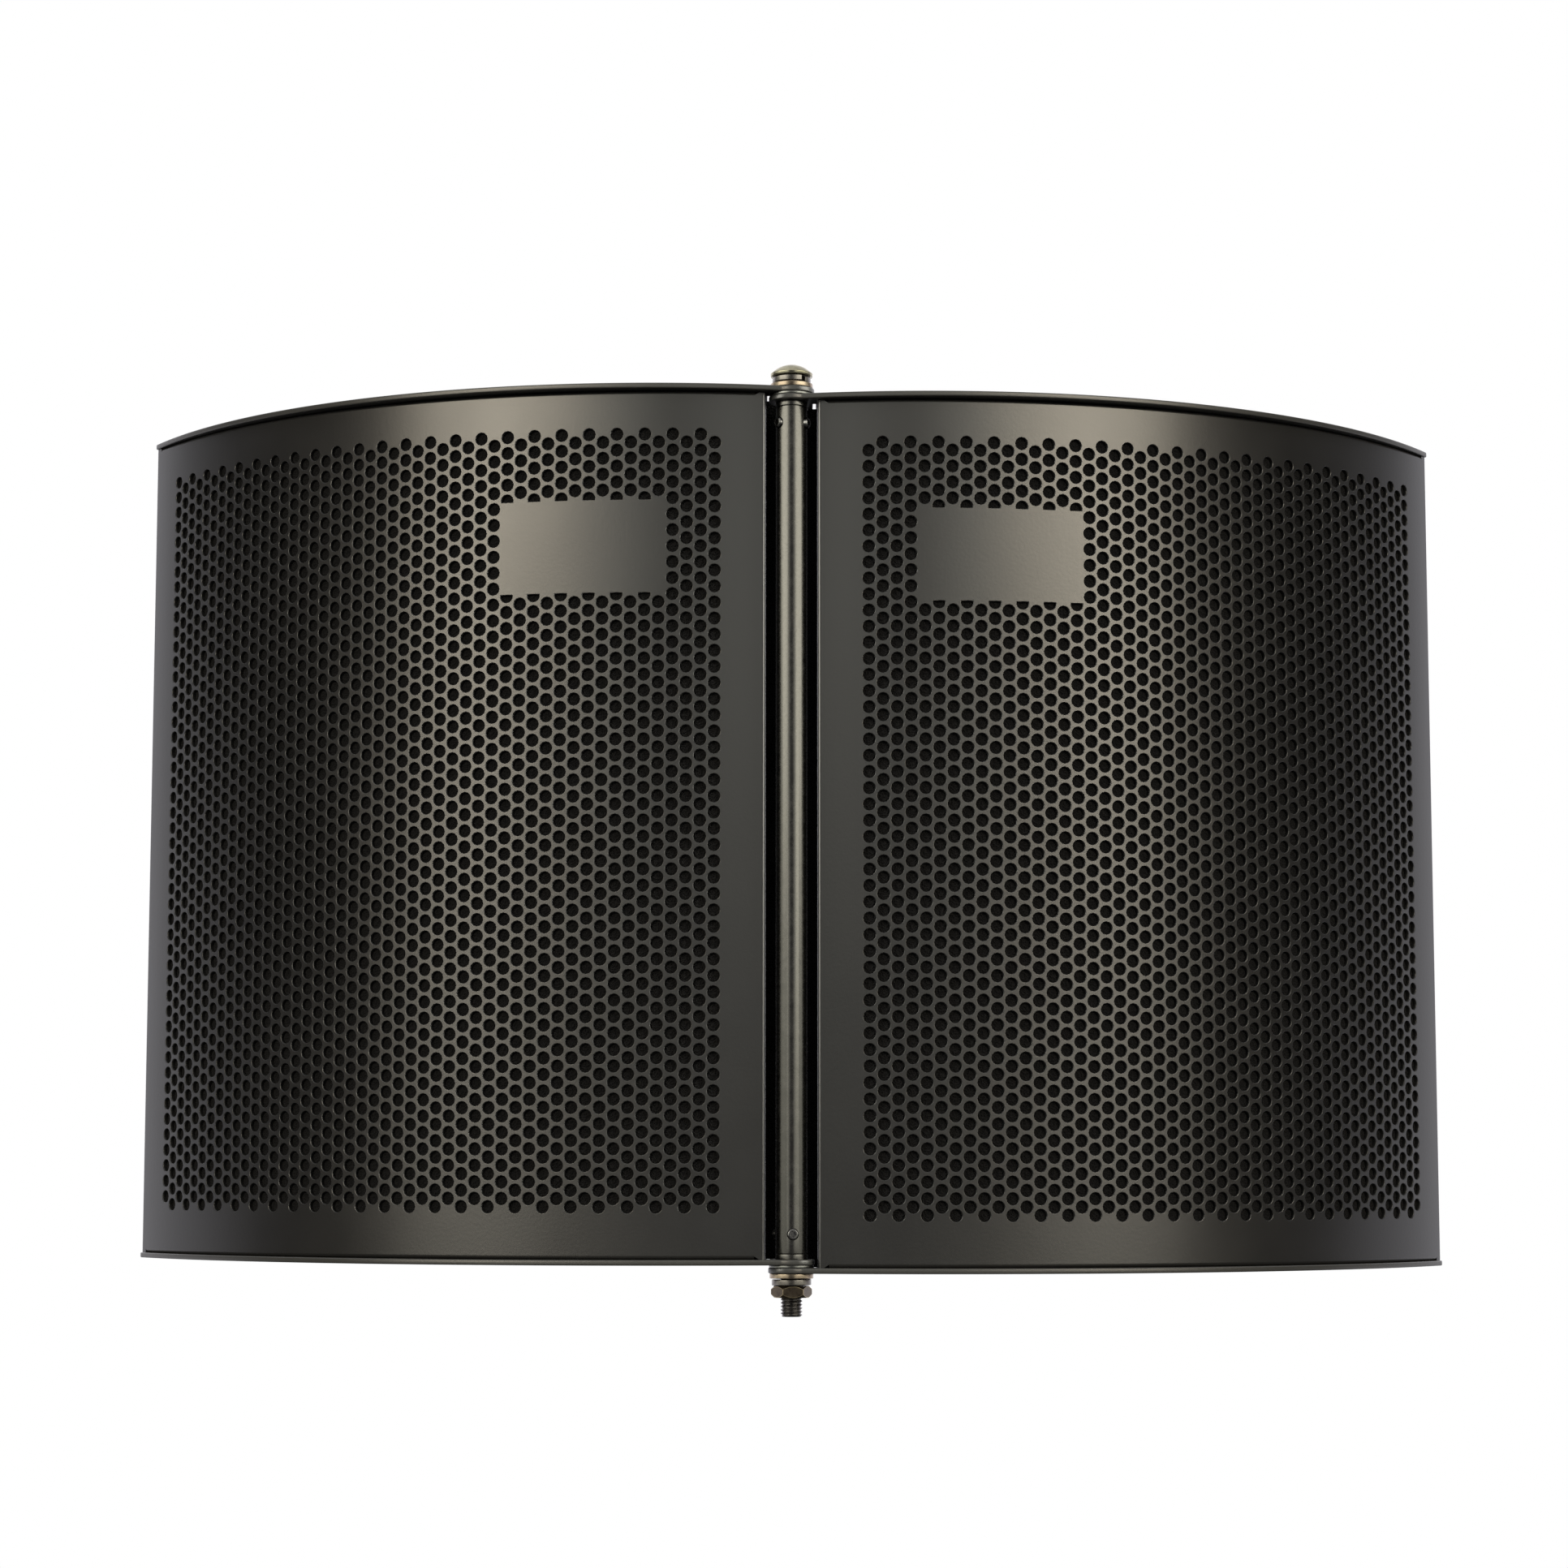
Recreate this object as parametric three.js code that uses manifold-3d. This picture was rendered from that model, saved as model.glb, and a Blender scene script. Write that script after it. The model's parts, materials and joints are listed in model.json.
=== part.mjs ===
/*
 * A folding microphone isolation shield: two curved steel panels lined with acoustic foam,
 * swinging on one central post that ends in a threaded stud.
 *
 * Units are millimetres and +Z is up. The origin lies on the hinge axis, at the lower end of the
 * stud. The convex steel side faces -Y and the foam side faces +Y. Each panel is drawn as the
 * right-hand one (+X); the left-hand panel is its mirror image and hangs one ear higher, so that
 * its ears sit on top of the right-hand panel's ears.
 */
import * as THREE from 'three';
import { mergeVertices } from 'three/addons/utils/BufferGeometryUtils.js';
import Module from 'manifold-3d';

const wasm = await Module();
wasm.setup();

const { degToRad } = THREE.MathUtils;

// ---------------------------------------------------------------- panel, in plan
const ARC_RADIUS = 250; // outer face of the curved shell
const ARC_START = degToRad(-8.84); // inner vertical edge, measured from -Y about the arc centre
const ARC_END = degToRad(56.2); // outer vertical edge
const INNER_EDGE = { x: 9.4, y: -5.3 }; // where the shell's outer face reaches the inner edge
const ARC_CENTRE = {
  x: INNER_EDGE.x - ARC_RADIUS * Math.sin(ARC_START),
  y: INNER_EDGE.y + ARC_RADIUS * Math.cos(ARC_START),
};
const SHEET = 1.2; // thickness of the shell
const TRAY_DEPTH = 18; // from the shell's outer face to the rear edge of its lips
const EDGE_BEND = 1.5; // outer radius of the bends along the vertical edges
const HINGE_FOLD_REAR = 4.7; // how far back (+Y) the fold beside the post reaches

// ---------------------------------------------------------------- plates and ears
const PLATE = 2; // thickness
const PLATE_RADIUS = 240.1; // of a plate's front edge, whose centre lies off the shell's, so that
const PLATE_SHIFT = 14.5; // the plate stands proud of the shell by about 3.5 mm near the post, a
const PLATE_LEAN = degToRad(14); // little more further out and under 1 mm at the outer edge
const EAR_RADIUS = 8.5;
const EAR_HOLE = 4.3;
const EAR_CORNER = { x: 8, y: 12 }; // rear corner of the ear, beside the slot
const EAR_END_ANGLE = degToRad(65); // other side of the ear's rear, as seen from the hinge axis
const SLOT_WIDTH = 1.1; // relief slot between the ear and the rest of the plate
const SLOT_FRONT = 2.5; // where the slot's round end touches, along Y
const CORNER_RADIUS = 1.2; // front outer corner of a plate

// ---------------------------------------------------------------- foam
const FOAM_GAP = 0.3; // clearance to the steel around it
const FOAM_THICKNESS = 35;
const FOAM_END_ANGLE = degToRad(65); // end face beside the post, as seen from the hinge axis
const FOAM_STEP_Y = 12; // front of the foam that reaches past the fold, towards the post

// ---------------------------------------------------------------- stack on the post, bottom up
const PLAY = 0.05; // left between stacked parts
const STUD_LENGTH = 6.9; // free thread below the nut
const NUT = { height: 4.2, corner: 7.5, chamfer: 0.9, bore: 4.15 };
const SPRING_WASHER = { outer: 7.2, inner: 4.3, thickness: 2.2, rise: 0.4, split: degToRad(13) };
const FLAT_WASHER = { outer: 8, inner: 4.2, thickness: 1.8, edge: 0.25 };
const FRICTION_WASHER = { outer: 8.25, inner: 4.2, thickness: 0.9, edge: 0.1 };
const PANEL_HEIGHT = 324.5; // over both plates
const BUSHING = { flange: 1.9, outer: 6, spigot: 4.7, spigotLength: 16, bore: 4.1 };
const TUBE = { outer: 6, bore: 5, chamfer: 0.5 };
const BOLT = { radius: 3.85, chamfer: 0.8 };
const HEAD = { radius: 8, height: 5.2, rim: 1.2, edge: 0.4, domeSteps: 8 };
const SOCKET = { corner: 2.9, depth: 2.6 }; // hexagon recess in the bolt's head

const UPPER_SPLIT = degToRad(-52); // where the splits of the spring washers face, from +X
const LOWER_SPLIT = degToRad(110);

const LOWER_SPRING_Z = STUD_LENGTH + NUT.height + PLAY;
const SPRING_HEIGHT = SPRING_WASHER.thickness + SPRING_WASHER.rise;
const LOWER_WASHER_Z = LOWER_SPRING_Z + SPRING_HEIGHT + PLAY;
const RIGHT_PANEL_Z = LOWER_WASHER_Z + FLAT_WASHER.thickness + PLAY;
const PANEL_LIFT = PLATE + FRICTION_WASHER.thickness + 2 * PLAY; // left panel above the right one
const LEFT_PANEL_Z = RIGHT_PANEL_Z + PANEL_LIFT;
const TOP_PLATE_OFFSET = PANEL_HEIGHT - PLATE;
const LOWER_FRICTION_Z = RIGHT_PANEL_Z + PLATE + PLAY;
const LOWER_BUSHING_Z = LEFT_PANEL_Z + PLATE + PLAY;
const TUBE_BOTTOM_Z = LOWER_BUSHING_Z + BUSHING.flange + PLAY;
const UPPER_BUSHING_TOP_Z = RIGHT_PANEL_Z + TOP_PLATE_OFFSET - PLAY;
const TUBE_TOP_Z = UPPER_BUSHING_TOP_Z - BUSHING.flange - PLAY;
const UPPER_FRICTION_Z = RIGHT_PANEL_Z + PANEL_HEIGHT + PLAY;
const UPPER_WASHER_Z = LEFT_PANEL_Z + PANEL_HEIGHT + PLAY;
const UPPER_SPRING_Z = UPPER_WASHER_Z + FLAT_WASHER.thickness + PLAY;
const HEAD_Z = UPPER_SPRING_Z + SPRING_HEIGHT + PLAY;

// ---------------------------------------------------------------- grub screws
const GRUB = { radius: 2, tip: 4, proud: 7, socket: 1.15, socketDepth: 1.4, hole: 2.15 };
const GRUB_SPACING = degToRad(120);
const UPPER_GRUBS = { z: 329.9, first: degToRad(-143) }; // angle from +X of the ring's first screw
const LOWER_GRUBS = { z: 29.8, first: degToRad(-85) };
const GRUB_COUNT = 3; // in each ring

// ---------------------------------------------------------------- smoothness
const WEB_FACETS = 60; // across the web; the lips stop one facet short of each vertical edge
const CURVE_SEGMENTS = 16; // each arc of an outline gets twice as many chords
const ROUND_SEGMENTS = 32; // round a turned part
const PIN_SEGMENTS = 12; // round a grub screw or its hole
const BEND_CHORDS = 4; // round a bend of the shell

// ---------------------------------------------------------------- solids
function solid(geometry) {
  const bare = geometry.clone();
  bare.deleteAttribute('normal');
  bare.deleteAttribute('uv');
  const merged = mergeVertices(bare, 1e-4);
  return new wasm.Manifold(
    new wasm.Mesh({
      numProp: 3,
      vertProperties: new Float32Array(merged.attributes.position.array),
      triVerts: new Uint32Array(merged.index.array),
    }),
  );
}

function geometryOf(body) {
  const mesh = body.getMesh();
  const geometry = new THREE.BufferGeometry();
  geometry.setAttribute('position', new THREE.BufferAttribute(mesh.vertProperties, 3));
  geometry.setIndex(new THREE.BufferAttribute(mesh.triVerts, 1));
  return geometry;
}

function join(first, ...others) {
  return geometryOf(others.reduce((body, other) => body.add(solid(other)), solid(first)));
}

function cut(blank, ...tools) {
  return geometryOf(tools.reduce((body, tool) => body.subtract(solid(tool)), solid(blank)));
}

function intersect(first, second) {
  return geometryOf(solid(first).intersect(solid(second)));
}

/** Extrudes a plan outline upwards from z = bottom. */
function prism(shape, height, bottom = 0) {
  const options = { depth: height, bevelEnabled: false, curveSegments: CURVE_SEGMENTS };
  return new THREE.ExtrudeGeometry(shape, options).translate(0, 0, bottom);
}

/** A body of revolution about Z, from [radius, z] pairs that start and end on the axis. */
function turned(profile) {
  const points = profile.map(([radius, z]) => new THREE.Vector2(radius, z));
  return new THREE.LatheGeometry(points, ROUND_SEGMENTS).rotateX(Math.PI / 2);
}

/** A flat or stepped ring about Z, from [radius, z] pairs that go once round its section. */
function ring(section) {
  return turned([...section, section[0]]);
}

function hexagon(corner) {
  const shape = new THREE.Shape();
  for (let side = 0; side < 6; side += 1) {
    const angle = (side * Math.PI) / 3;
    const draw = side === 0 ? 'moveTo' : 'lineTo';
    shape[draw](corner * Math.cos(angle), corner * Math.sin(angle));
  }
  return shape;
}

// ---------------------------------------------------------------- materials
function metal(name, colour, roughness, metalness) {
  return new THREE.MeshStandardMaterial({ name, color: colour, roughness, metalness });
}

const panelPaint = () => metal('panel_paint', 0x33332f, 0.5, 0.4);
const postFinish = () => metal('post_finish', 0x3a3935, 0.3, 0.8);
const yellowZinc = () => metal('yellow_zinc', 0x8a7a58, 0.3, 0.9);
const springSteel = () => metal('spring_steel', 0x6b655c, 0.35, 0.9);
const studSteel = () => metal('stud_steel', 0x45423d, 0.4, 0.9);
const frictionDisc = () => metal('friction_disc', 0x3b3b38, 0.35, 0.6);
const foamMaterial = () => metal('foam', 0x131313, 1, 0);

// ---------------------------------------------------------------- panel geometry
/** A point at the given distance from the panel's arc centre, at the given angle from -Y. */
function arcPoint(radius, angle) {
  return new THREE.Vector2(
    ARC_CENTRE.x + radius * Math.sin(angle),
    ARC_CENTRE.y - radius * Math.cos(angle),
  );
}

/** Adds a stretch of a circle about the panel's arc centre to an outline. */
function addArc(shape, radius, from, to) {
  const quarter = Math.PI / 2;
  shape.absarc(ARC_CENTRE.x, ARC_CENTRE.y, radius, from - quarter, to - quarter, to < from);
}

/** The angle about the arc centre at which a circle of that radius crosses a plan line x = c. */
function angleAtX(radius, x) {
  return Math.asin((x - ARC_CENTRE.x) / radius);
}

/** Points on a circle about the arc centre, at the edges of the web's facets. */
function facetPoints(radius, first, last) {
  const step = first <= last ? 1 : -1;
  const points = [];
  for (let facet = first; facet !== last + step; facet += step) {
    const angle = THREE.MathUtils.lerp(ARC_START, ARC_END, facet / WEB_FACETS);
    points.push(arcPoint(radius, angle));
  }
  return points;
}

/** Rounds the corner of an outline between two neighbouring points. */
function bend(before, corner, after) {
  const toward = (target) => {
    const step = target.clone().sub(corner).setLength(EDGE_BEND);
    return step.add(corner);
  };
  const curve = new THREE.QuadraticBezierCurve(toward(before), corner, toward(after));
  return curve.getPoints(BEND_CHORDS);
}

/** Plan of the shell's outside: the curved face, its two folds and the rear edge of the lips. */
function shellOutline() {
  const face = facetPoints(ARC_RADIUS, 0, WEB_FACETS);
  const rear = facetPoints(ARC_RADIUS - TRAY_DEPTH, WEB_FACETS, 1);
  const foldRear = new THREE.Vector2(INNER_EDGE.x, HINGE_FOLD_REAR);
  const insideFold = new THREE.Vector2(INNER_EDGE.x + 2 * SHEET, HINGE_FOLD_REAR);
  return new THREE.Shape([
    ...bend(foldRear, face[0], face[1]),
    ...face.slice(1, -1),
    ...bend(face[WEB_FACETS - 1], face[WEB_FACETS], rear[0]),
    ...rear,
    insideFold,
    foldRear,
  ]);
}

/** Plan of the hollow behind the web, between two of its facet edges. It runs out to the rear. */
function hollowOutline(firstFacet, lastFacet) {
  const inside = ARC_RADIUS - SHEET;
  const behind = ARC_RADIUS - 2 * TRAY_DEPTH;
  const front = facetPoints(inside, firstFacet, lastFacet);
  const back = facetPoints(behind, lastFacet, firstFacet);
  if (firstFacet === 0) {
    const foldX = INNER_EDGE.x + SHEET;
    front[0] = arcPoint(inside, angleAtX(inside, foldX));
    back[back.length - 1].x = foldX;
  }
  if (lastFacet === WEB_FACETS) {
    front[front.length - 1] = arcPoint(inside, ARC_END - SHEET / inside);
    back[0] = arcPoint(behind, ARC_END - SHEET / behind);
  }
  return new THREE.Shape([...front, ...back]);
}

/** The curved steel tray: a web with lips at top and bottom, and a fold along each edge. */
function shellGeometry() {
  const bottom = PLATE + PLAY;
  const height = PANEL_HEIGHT - 2 * bottom;
  const hollow = prism(hollowOutline(0, WEB_FACETS), height - 2 * SHEET, bottom + SHEET);
  const reliefs = [hollowOutline(0, 1), hollowOutline(WEB_FACETS - 1, WEB_FACETS)];
  return cut(
    prism(shellOutline(), height, bottom),
    hollow,
    ...reliefs.map((relief) => prism(relief, PANEL_HEIGHT)),
  );
}

/** Distance from the arc centre to a plate's front edge, at an angle from -Y. */
function plateReach(angle) {
  const turn = angle - PLATE_LEAN;
  const across = PLATE_SHIFT * Math.sin(turn);
  return PLATE_SHIFT * Math.cos(turn) + Math.sqrt(PLATE_RADIUS ** 2 - across ** 2);
}

/** Where a circle of the given centre and radius first meets the round of the ear. */
function earSeam(centre, radius) {
  const reach = Math.hypot(centre.x, centre.y);
  const toCentre = Math.atan2(centre.y, centre.x);
  const cosine = (EAR_RADIUS ** 2 + reach ** 2 - radius ** 2) / (2 * EAR_RADIUS * reach);
  const angle = toCentre - Math.acos(cosine);
  return { x: EAR_RADIUS * Math.cos(angle), y: EAR_RADIUS * Math.sin(angle) };
}

/** Plan of a top or bottom plate, with the ear that turns on the post. */
function plateOutline() {
  const centre = arcPoint(PLATE_SHIFT, PLATE_LEAN);
  const rear = ARC_RADIUS - TRAY_DEPTH;
  const seam = earSeam(centre, PLATE_RADIUS);
  const cornerAngle = ARC_END - CORNER_RADIUS / ARC_RADIUS;
  const cornerStart = arcPoint(plateReach(cornerAngle), cornerAngle);
  const corner = arcPoint(plateReach(ARC_END), ARC_END);
  const cornerEnd = arcPoint(plateReach(ARC_END) - CORNER_RADIUS, ARC_END);
  const angleOf = (point) => Math.atan2(point.y - centre.y, point.x - centre.x);
  const slotRadius = SLOT_WIDTH / 2;
  const slotCentre = { x: EAR_CORNER.x + slotRadius, y: SLOT_FRONT + slotRadius };
  const bodyX = EAR_CORNER.x + SLOT_WIDTH;
  const shape = new THREE.Shape();
  shape.absarc(centre.x, centre.y, PLATE_RADIUS, angleOf(seam), angleOf(cornerStart), false);
  shape.quadraticCurveTo(corner.x, corner.y, cornerEnd.x, cornerEnd.y);
  addArc(shape, rear, ARC_END, angleAtX(rear, bodyX));
  shape.lineTo(bodyX, slotCentre.y);
  shape.absarc(slotCentre.x, slotCentre.y, slotRadius, 0, -Math.PI, true);
  shape.lineTo(EAR_CORNER.x, EAR_CORNER.y);
  shape.lineTo(EAR_CORNER.y / Math.tan(EAR_END_ANGLE), EAR_CORNER.y);
  shape.absarc(0, 0, EAR_RADIUS, EAR_END_ANGLE, Math.atan2(seam.y, seam.x), false);
  shape.holes.push(new THREE.Path().absarc(0, 0, EAR_HOLE, 0, 2 * Math.PI, true));
  return shape;
}

function plateGeometry() {
  return prism(plateOutline(), PLATE);
}

/** Plan of the foam: it fills the tray, stands out behind it and reaches towards the post. */
function foamOutline() {
  const front = ARC_RADIUS - SHEET - FOAM_GAP;
  const rear = ARC_RADIUS - SHEET - FOAM_GAP - FOAM_THICKNESS;
  const end = ARC_END - (SHEET + FOAM_GAP) / front;
  const sideX = INNER_EDGE.x + SHEET + FOAM_GAP;
  const toPost = { x: Math.cos(FOAM_END_ANGLE), y: Math.sin(FOAM_END_ANGLE) };
  const rearReach = distanceToArc(toPost, rear);
  const rearX = rearReach * toPost.x;
  const shape = new THREE.Shape();
  addArc(shape, front, angleAtX(front, sideX), end);
  addArc(shape, rear, end, angleAtX(rear, rearX));
  shape.lineTo(FOAM_STEP_Y / Math.tan(FOAM_END_ANGLE), FOAM_STEP_Y);
  shape.lineTo(sideX, FOAM_STEP_Y);
  shape.closePath();
  return shape;
}

/** How far along a direction from the hinge axis a circle about the arc centre is first met. */
function distanceToArc(direction, radius) {
  const along = direction.x * ARC_CENTRE.x + direction.y * ARC_CENTRE.y;
  const reach = ARC_CENTRE.x ** 2 + ARC_CENTRE.y ** 2;
  return along - Math.sqrt(along ** 2 - reach + radius ** 2);
}

function foamGeometry() {
  const bottom = PLATE + PLAY + SHEET + FOAM_GAP;
  return prism(foamOutline(), PANEL_HEIGHT - 2 * bottom, bottom);
}

// ---------------------------------------------------------------- post geometry
function boltGeometry() {
  const domeRise = HEAD.height - HEAD.rim;
  const domeRadius = (HEAD.radius ** 2 + domeRise ** 2) / (2 * domeRise);
  const domeAngle = Math.asin(HEAD.radius / domeRadius);
  const top = HEAD_Z + HEAD.height;
  const profile = [
    [0, 0],
    [BOLT.radius - BOLT.chamfer, 0],
    [BOLT.radius, BOLT.chamfer],
    [BOLT.radius, HEAD_Z],
    [HEAD.radius - HEAD.edge, HEAD_Z],
    [HEAD.radius, HEAD_Z + HEAD.edge],
  ];
  for (let step = 0; step <= HEAD.domeSteps; step += 1) {
    const angle = domeAngle * (1 - step / HEAD.domeSteps);
    profile.push([domeRadius * Math.sin(angle), top - domeRadius * (1 - Math.cos(angle))]);
  }
  const socket = prism(hexagon(SOCKET.corner), 2 * SOCKET.depth, top - SOCKET.depth);
  return cut(turned(profile), socket);
}

/** A cylinder lying on a radius of the post, from one distance to another. */
function radialPin(radius, from, to, angle, z) {
  return new THREE.CylinderGeometry(radius, radius, to - from, PIN_SEGMENTS)
    .rotateZ(-Math.PI / 2)
    .translate((from + to) / 2, 0, 0)
    .rotateZ(angle)
    .translate(0, 0, z);
}

/** The clearance holes for one ring of grub screws. */
function grubHoles({ z, first }) {
  const holes = [];
  for (let index = 0; index < GRUB_COUNT; index += 1) {
    holes.push(radialPin(GRUB.hole, BOLT.radius, GRUB.proud, first + index * GRUB_SPACING, z));
  }
  return holes;
}

function tubeGeometry() {
  const { outer, bore, chamfer } = TUBE;
  const blank = ring([
    [bore, TUBE_BOTTOM_Z],
    [outer - chamfer, TUBE_BOTTOM_Z],
    [outer, TUBE_BOTTOM_Z + chamfer],
    [outer, TUBE_TOP_Z - chamfer],
    [outer - chamfer, TUBE_TOP_Z],
    [bore, TUBE_TOP_Z],
  ]);
  return cut(blank, ...grubHoles(UPPER_GRUBS), ...grubHoles(LOWER_GRUBS));
}

/** A flanged sleeve in the tube's end. The spigot points up (+1) or down (-1) from the flange. */
function bushingGeometry(flangeZ, direction, grubs) {
  const { flange, outer, spigot, spigotLength, bore } = BUSHING;
  const section = [
    [bore, 0],
    [outer, 0],
    [outer, flange],
    [spigot, flange],
    [spigot, flange + spigotLength],
    [bore, flange + spigotLength],
  ].map(([radius, z]) => [radius, flangeZ + direction * z]);
  const facing = direction > 0 ? section : section.reverse();
  return cut(ring(facing), ...grubHoles(grubs));
}

function grubGeometry() {
  const body = radialPin(GRUB.radius, GRUB.tip, GRUB.proud, 0, 0);
  const socket = prism(hexagon(GRUB.socket), 2 * GRUB.socketDepth)
    .rotateY(Math.PI / 2)
    .translate(GRUB.proud - GRUB.socketDepth, 0, 0);
  return cut(body, socket);
}

function washerGeometry({ outer, inner, thickness, edge }) {
  return ring([
    [inner, 0],
    [outer - edge, 0],
    [outer, edge],
    [outer, thickness - edge],
    [outer - edge, thickness],
    [inner, thickness],
  ]);
}

/** A split ring whose two ends stand apart in height. The split is centred on +X. */
function springWasherGeometry() {
  const { outer, inner, thickness, rise, split } = SPRING_WASHER;
  const from = split / 2;
  const to = 2 * Math.PI - split / 2;
  const shape = new THREE.Shape();
  shape.absarc(0, 0, outer, from, to, false);
  shape.absarc(0, 0, inner, to, from, true);
  shape.closePath();
  const geometry = prism(shape, thickness);
  const position = geometry.attributes.position;
  for (let index = 0; index < position.count; index += 1) {
    const angle = Math.atan2(position.getY(index), position.getX(index));
    const turn = (angle < 0 ? angle + 2 * Math.PI : angle) / (2 * Math.PI);
    position.setZ(index, position.getZ(index) + rise * turn);
  }
  return geometry;
}

function nutGeometry() {
  const { height, corner, chamfer, bore } = NUT;
  const flat = corner * Math.cos(Math.PI / 6);
  const envelope = turned([
    [0, 0],
    [flat, 0],
    [corner, chamfer / 2],
    [corner, height - chamfer / 2],
    [flat, height],
    [0, height],
  ]);
  const through = 4 * height;
  const hole = new THREE.CylinderGeometry(bore, bore, through, ROUND_SEGMENTS).rotateX(Math.PI / 2);
  return cut(intersect(prism(hexagon(corner), height), envelope), hole);
}

// ---------------------------------------------------------------- assembly
function piece(name, geometry, material, z = 0) {
  const mesh = new THREE.Mesh(geometry, material);
  mesh.name = name;
  mesh.position.z = z;
  return mesh;
}

function panel(side) {
  const group = new THREE.Group();
  group.add(piece(`${side}_shell`, shellGeometry(), panelPaint()));
  group.add(piece(`${side}_bottom_plate`, plateGeometry(), panelPaint()));
  group.add(piece(`${side}_top_plate`, plateGeometry(), panelPaint(), TOP_PLATE_OFFSET));
  group.add(piece(`${side}_foam`, foamGeometry(), foamMaterial()));
  return group;
}

function grubScrews(prefix, { z, first }) {
  const group = new THREE.Group();
  for (let index = 0; index < GRUB_COUNT; index += 1) {
    const screw = piece(`${prefix}_grub_screw_${index + 1}`, grubGeometry(), studSteel(), z);
    screw.rotation.z = first + index * GRUB_SPACING;
    group.add(screw);
  }
  return group;
}

function springWasher(name, z, splitAngle) {
  const washer = piece(name, springWasherGeometry(), springSteel(), z);
  washer.rotation.z = splitAngle;
  return washer;
}

function post() {
  const group = new THREE.Group();
  const lowerBushing = bushingGeometry(LOWER_BUSHING_Z, 1, LOWER_GRUBS);
  const upperBushing = bushingGeometry(UPPER_BUSHING_TOP_Z, -1, UPPER_GRUBS);
  const flatWasher = () => washerGeometry(FLAT_WASHER);
  const frictionWasher = () => washerGeometry(FRICTION_WASHER);
  group.add(piece('hinge_bolt', boltGeometry(), yellowZinc()));
  group.add(piece('hinge_tube', tubeGeometry(), postFinish()));
  group.add(piece('lower_bushing', lowerBushing, postFinish()));
  group.add(piece('upper_bushing', upperBushing, postFinish()));
  group.add(grubScrews('lower', LOWER_GRUBS));
  group.add(grubScrews('upper', UPPER_GRUBS));
  group.add(piece('jam_nut', nutGeometry(), yellowZinc(), STUD_LENGTH));
  group.add(springWasher('lower_spring_washer', LOWER_SPRING_Z, LOWER_SPLIT));
  group.add(piece('lower_flat_washer', flatWasher(), yellowZinc(), LOWER_WASHER_Z));
  group.add(piece('lower_friction_washer', frictionWasher(), frictionDisc(), LOWER_FRICTION_Z));
  group.add(piece('upper_friction_washer', frictionWasher(), frictionDisc(), UPPER_FRICTION_Z));
  group.add(piece('upper_flat_washer', flatWasher(), yellowZinc(), UPPER_WASHER_Z));
  group.add(springWasher('upper_spring_washer', UPPER_SPRING_Z, UPPER_SPLIT));
  return group;
}

function shield() {
  const right = panel('right');
  right.position.z = RIGHT_PANEL_Z;
  const left = panel('left');
  left.position.z = LEFT_PANEL_Z;
  left.scale.x = -1;
  return new THREE.Group().add(post(), right, left);
}

export default shield();
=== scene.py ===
"""Looks of a folding microphone isolation shield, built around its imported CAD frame.

Lengths below are millimetres in the frame's axes (+X right, +Y towards the foam, +Z up) unless a
name says otherwise; meshes are scaled to metres when they are made. Panels are drawn as the
right-hand one and mirrored for the left.
"""
import json
import math
from functools import cached_property

import bmesh
import bpy
import numpy as np
from mathutils import Matrix, Vector, noise

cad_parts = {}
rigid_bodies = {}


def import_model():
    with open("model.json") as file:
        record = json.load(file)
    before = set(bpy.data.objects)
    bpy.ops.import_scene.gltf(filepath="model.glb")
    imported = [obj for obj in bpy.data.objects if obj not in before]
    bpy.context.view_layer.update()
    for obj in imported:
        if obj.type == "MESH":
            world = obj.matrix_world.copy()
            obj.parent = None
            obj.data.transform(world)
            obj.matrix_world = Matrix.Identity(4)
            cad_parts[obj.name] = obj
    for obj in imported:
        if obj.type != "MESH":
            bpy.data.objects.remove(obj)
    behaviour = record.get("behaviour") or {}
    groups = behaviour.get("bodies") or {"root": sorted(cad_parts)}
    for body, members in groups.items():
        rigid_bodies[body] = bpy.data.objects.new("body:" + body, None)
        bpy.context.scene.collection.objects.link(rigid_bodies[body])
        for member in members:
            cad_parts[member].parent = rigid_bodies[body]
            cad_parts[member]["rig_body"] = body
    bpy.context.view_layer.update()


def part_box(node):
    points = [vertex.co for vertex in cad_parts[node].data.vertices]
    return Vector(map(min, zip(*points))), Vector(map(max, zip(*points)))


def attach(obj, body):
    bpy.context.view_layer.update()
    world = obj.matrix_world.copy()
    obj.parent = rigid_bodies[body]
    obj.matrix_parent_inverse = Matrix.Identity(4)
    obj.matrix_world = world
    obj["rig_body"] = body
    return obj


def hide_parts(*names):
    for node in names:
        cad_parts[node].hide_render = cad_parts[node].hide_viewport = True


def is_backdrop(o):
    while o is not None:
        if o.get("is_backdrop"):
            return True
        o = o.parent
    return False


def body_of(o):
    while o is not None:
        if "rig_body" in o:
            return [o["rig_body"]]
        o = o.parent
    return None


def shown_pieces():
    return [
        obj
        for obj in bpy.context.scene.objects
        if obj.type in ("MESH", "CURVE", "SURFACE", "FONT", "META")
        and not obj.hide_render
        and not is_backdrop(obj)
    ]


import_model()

MM = 0.001
TAU = 2 * math.pi
WELD_DISTANCE = 0.002
SMALLEST_AREA = 1e-4


# ---- sizes read from the frame
def span_mm(node, axis):
    """Lowest and highest coordinate of a CAD node along an axis, in millimetres."""
    low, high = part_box(node)
    return low[axis] / MM, high[axis] / MM


def round_span(node):
    """Lowest and highest Z and outer radius of a CAD node on the post, in millimetres."""
    return *span_mm(node, 2), span_mm(node, 0)[1]


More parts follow.
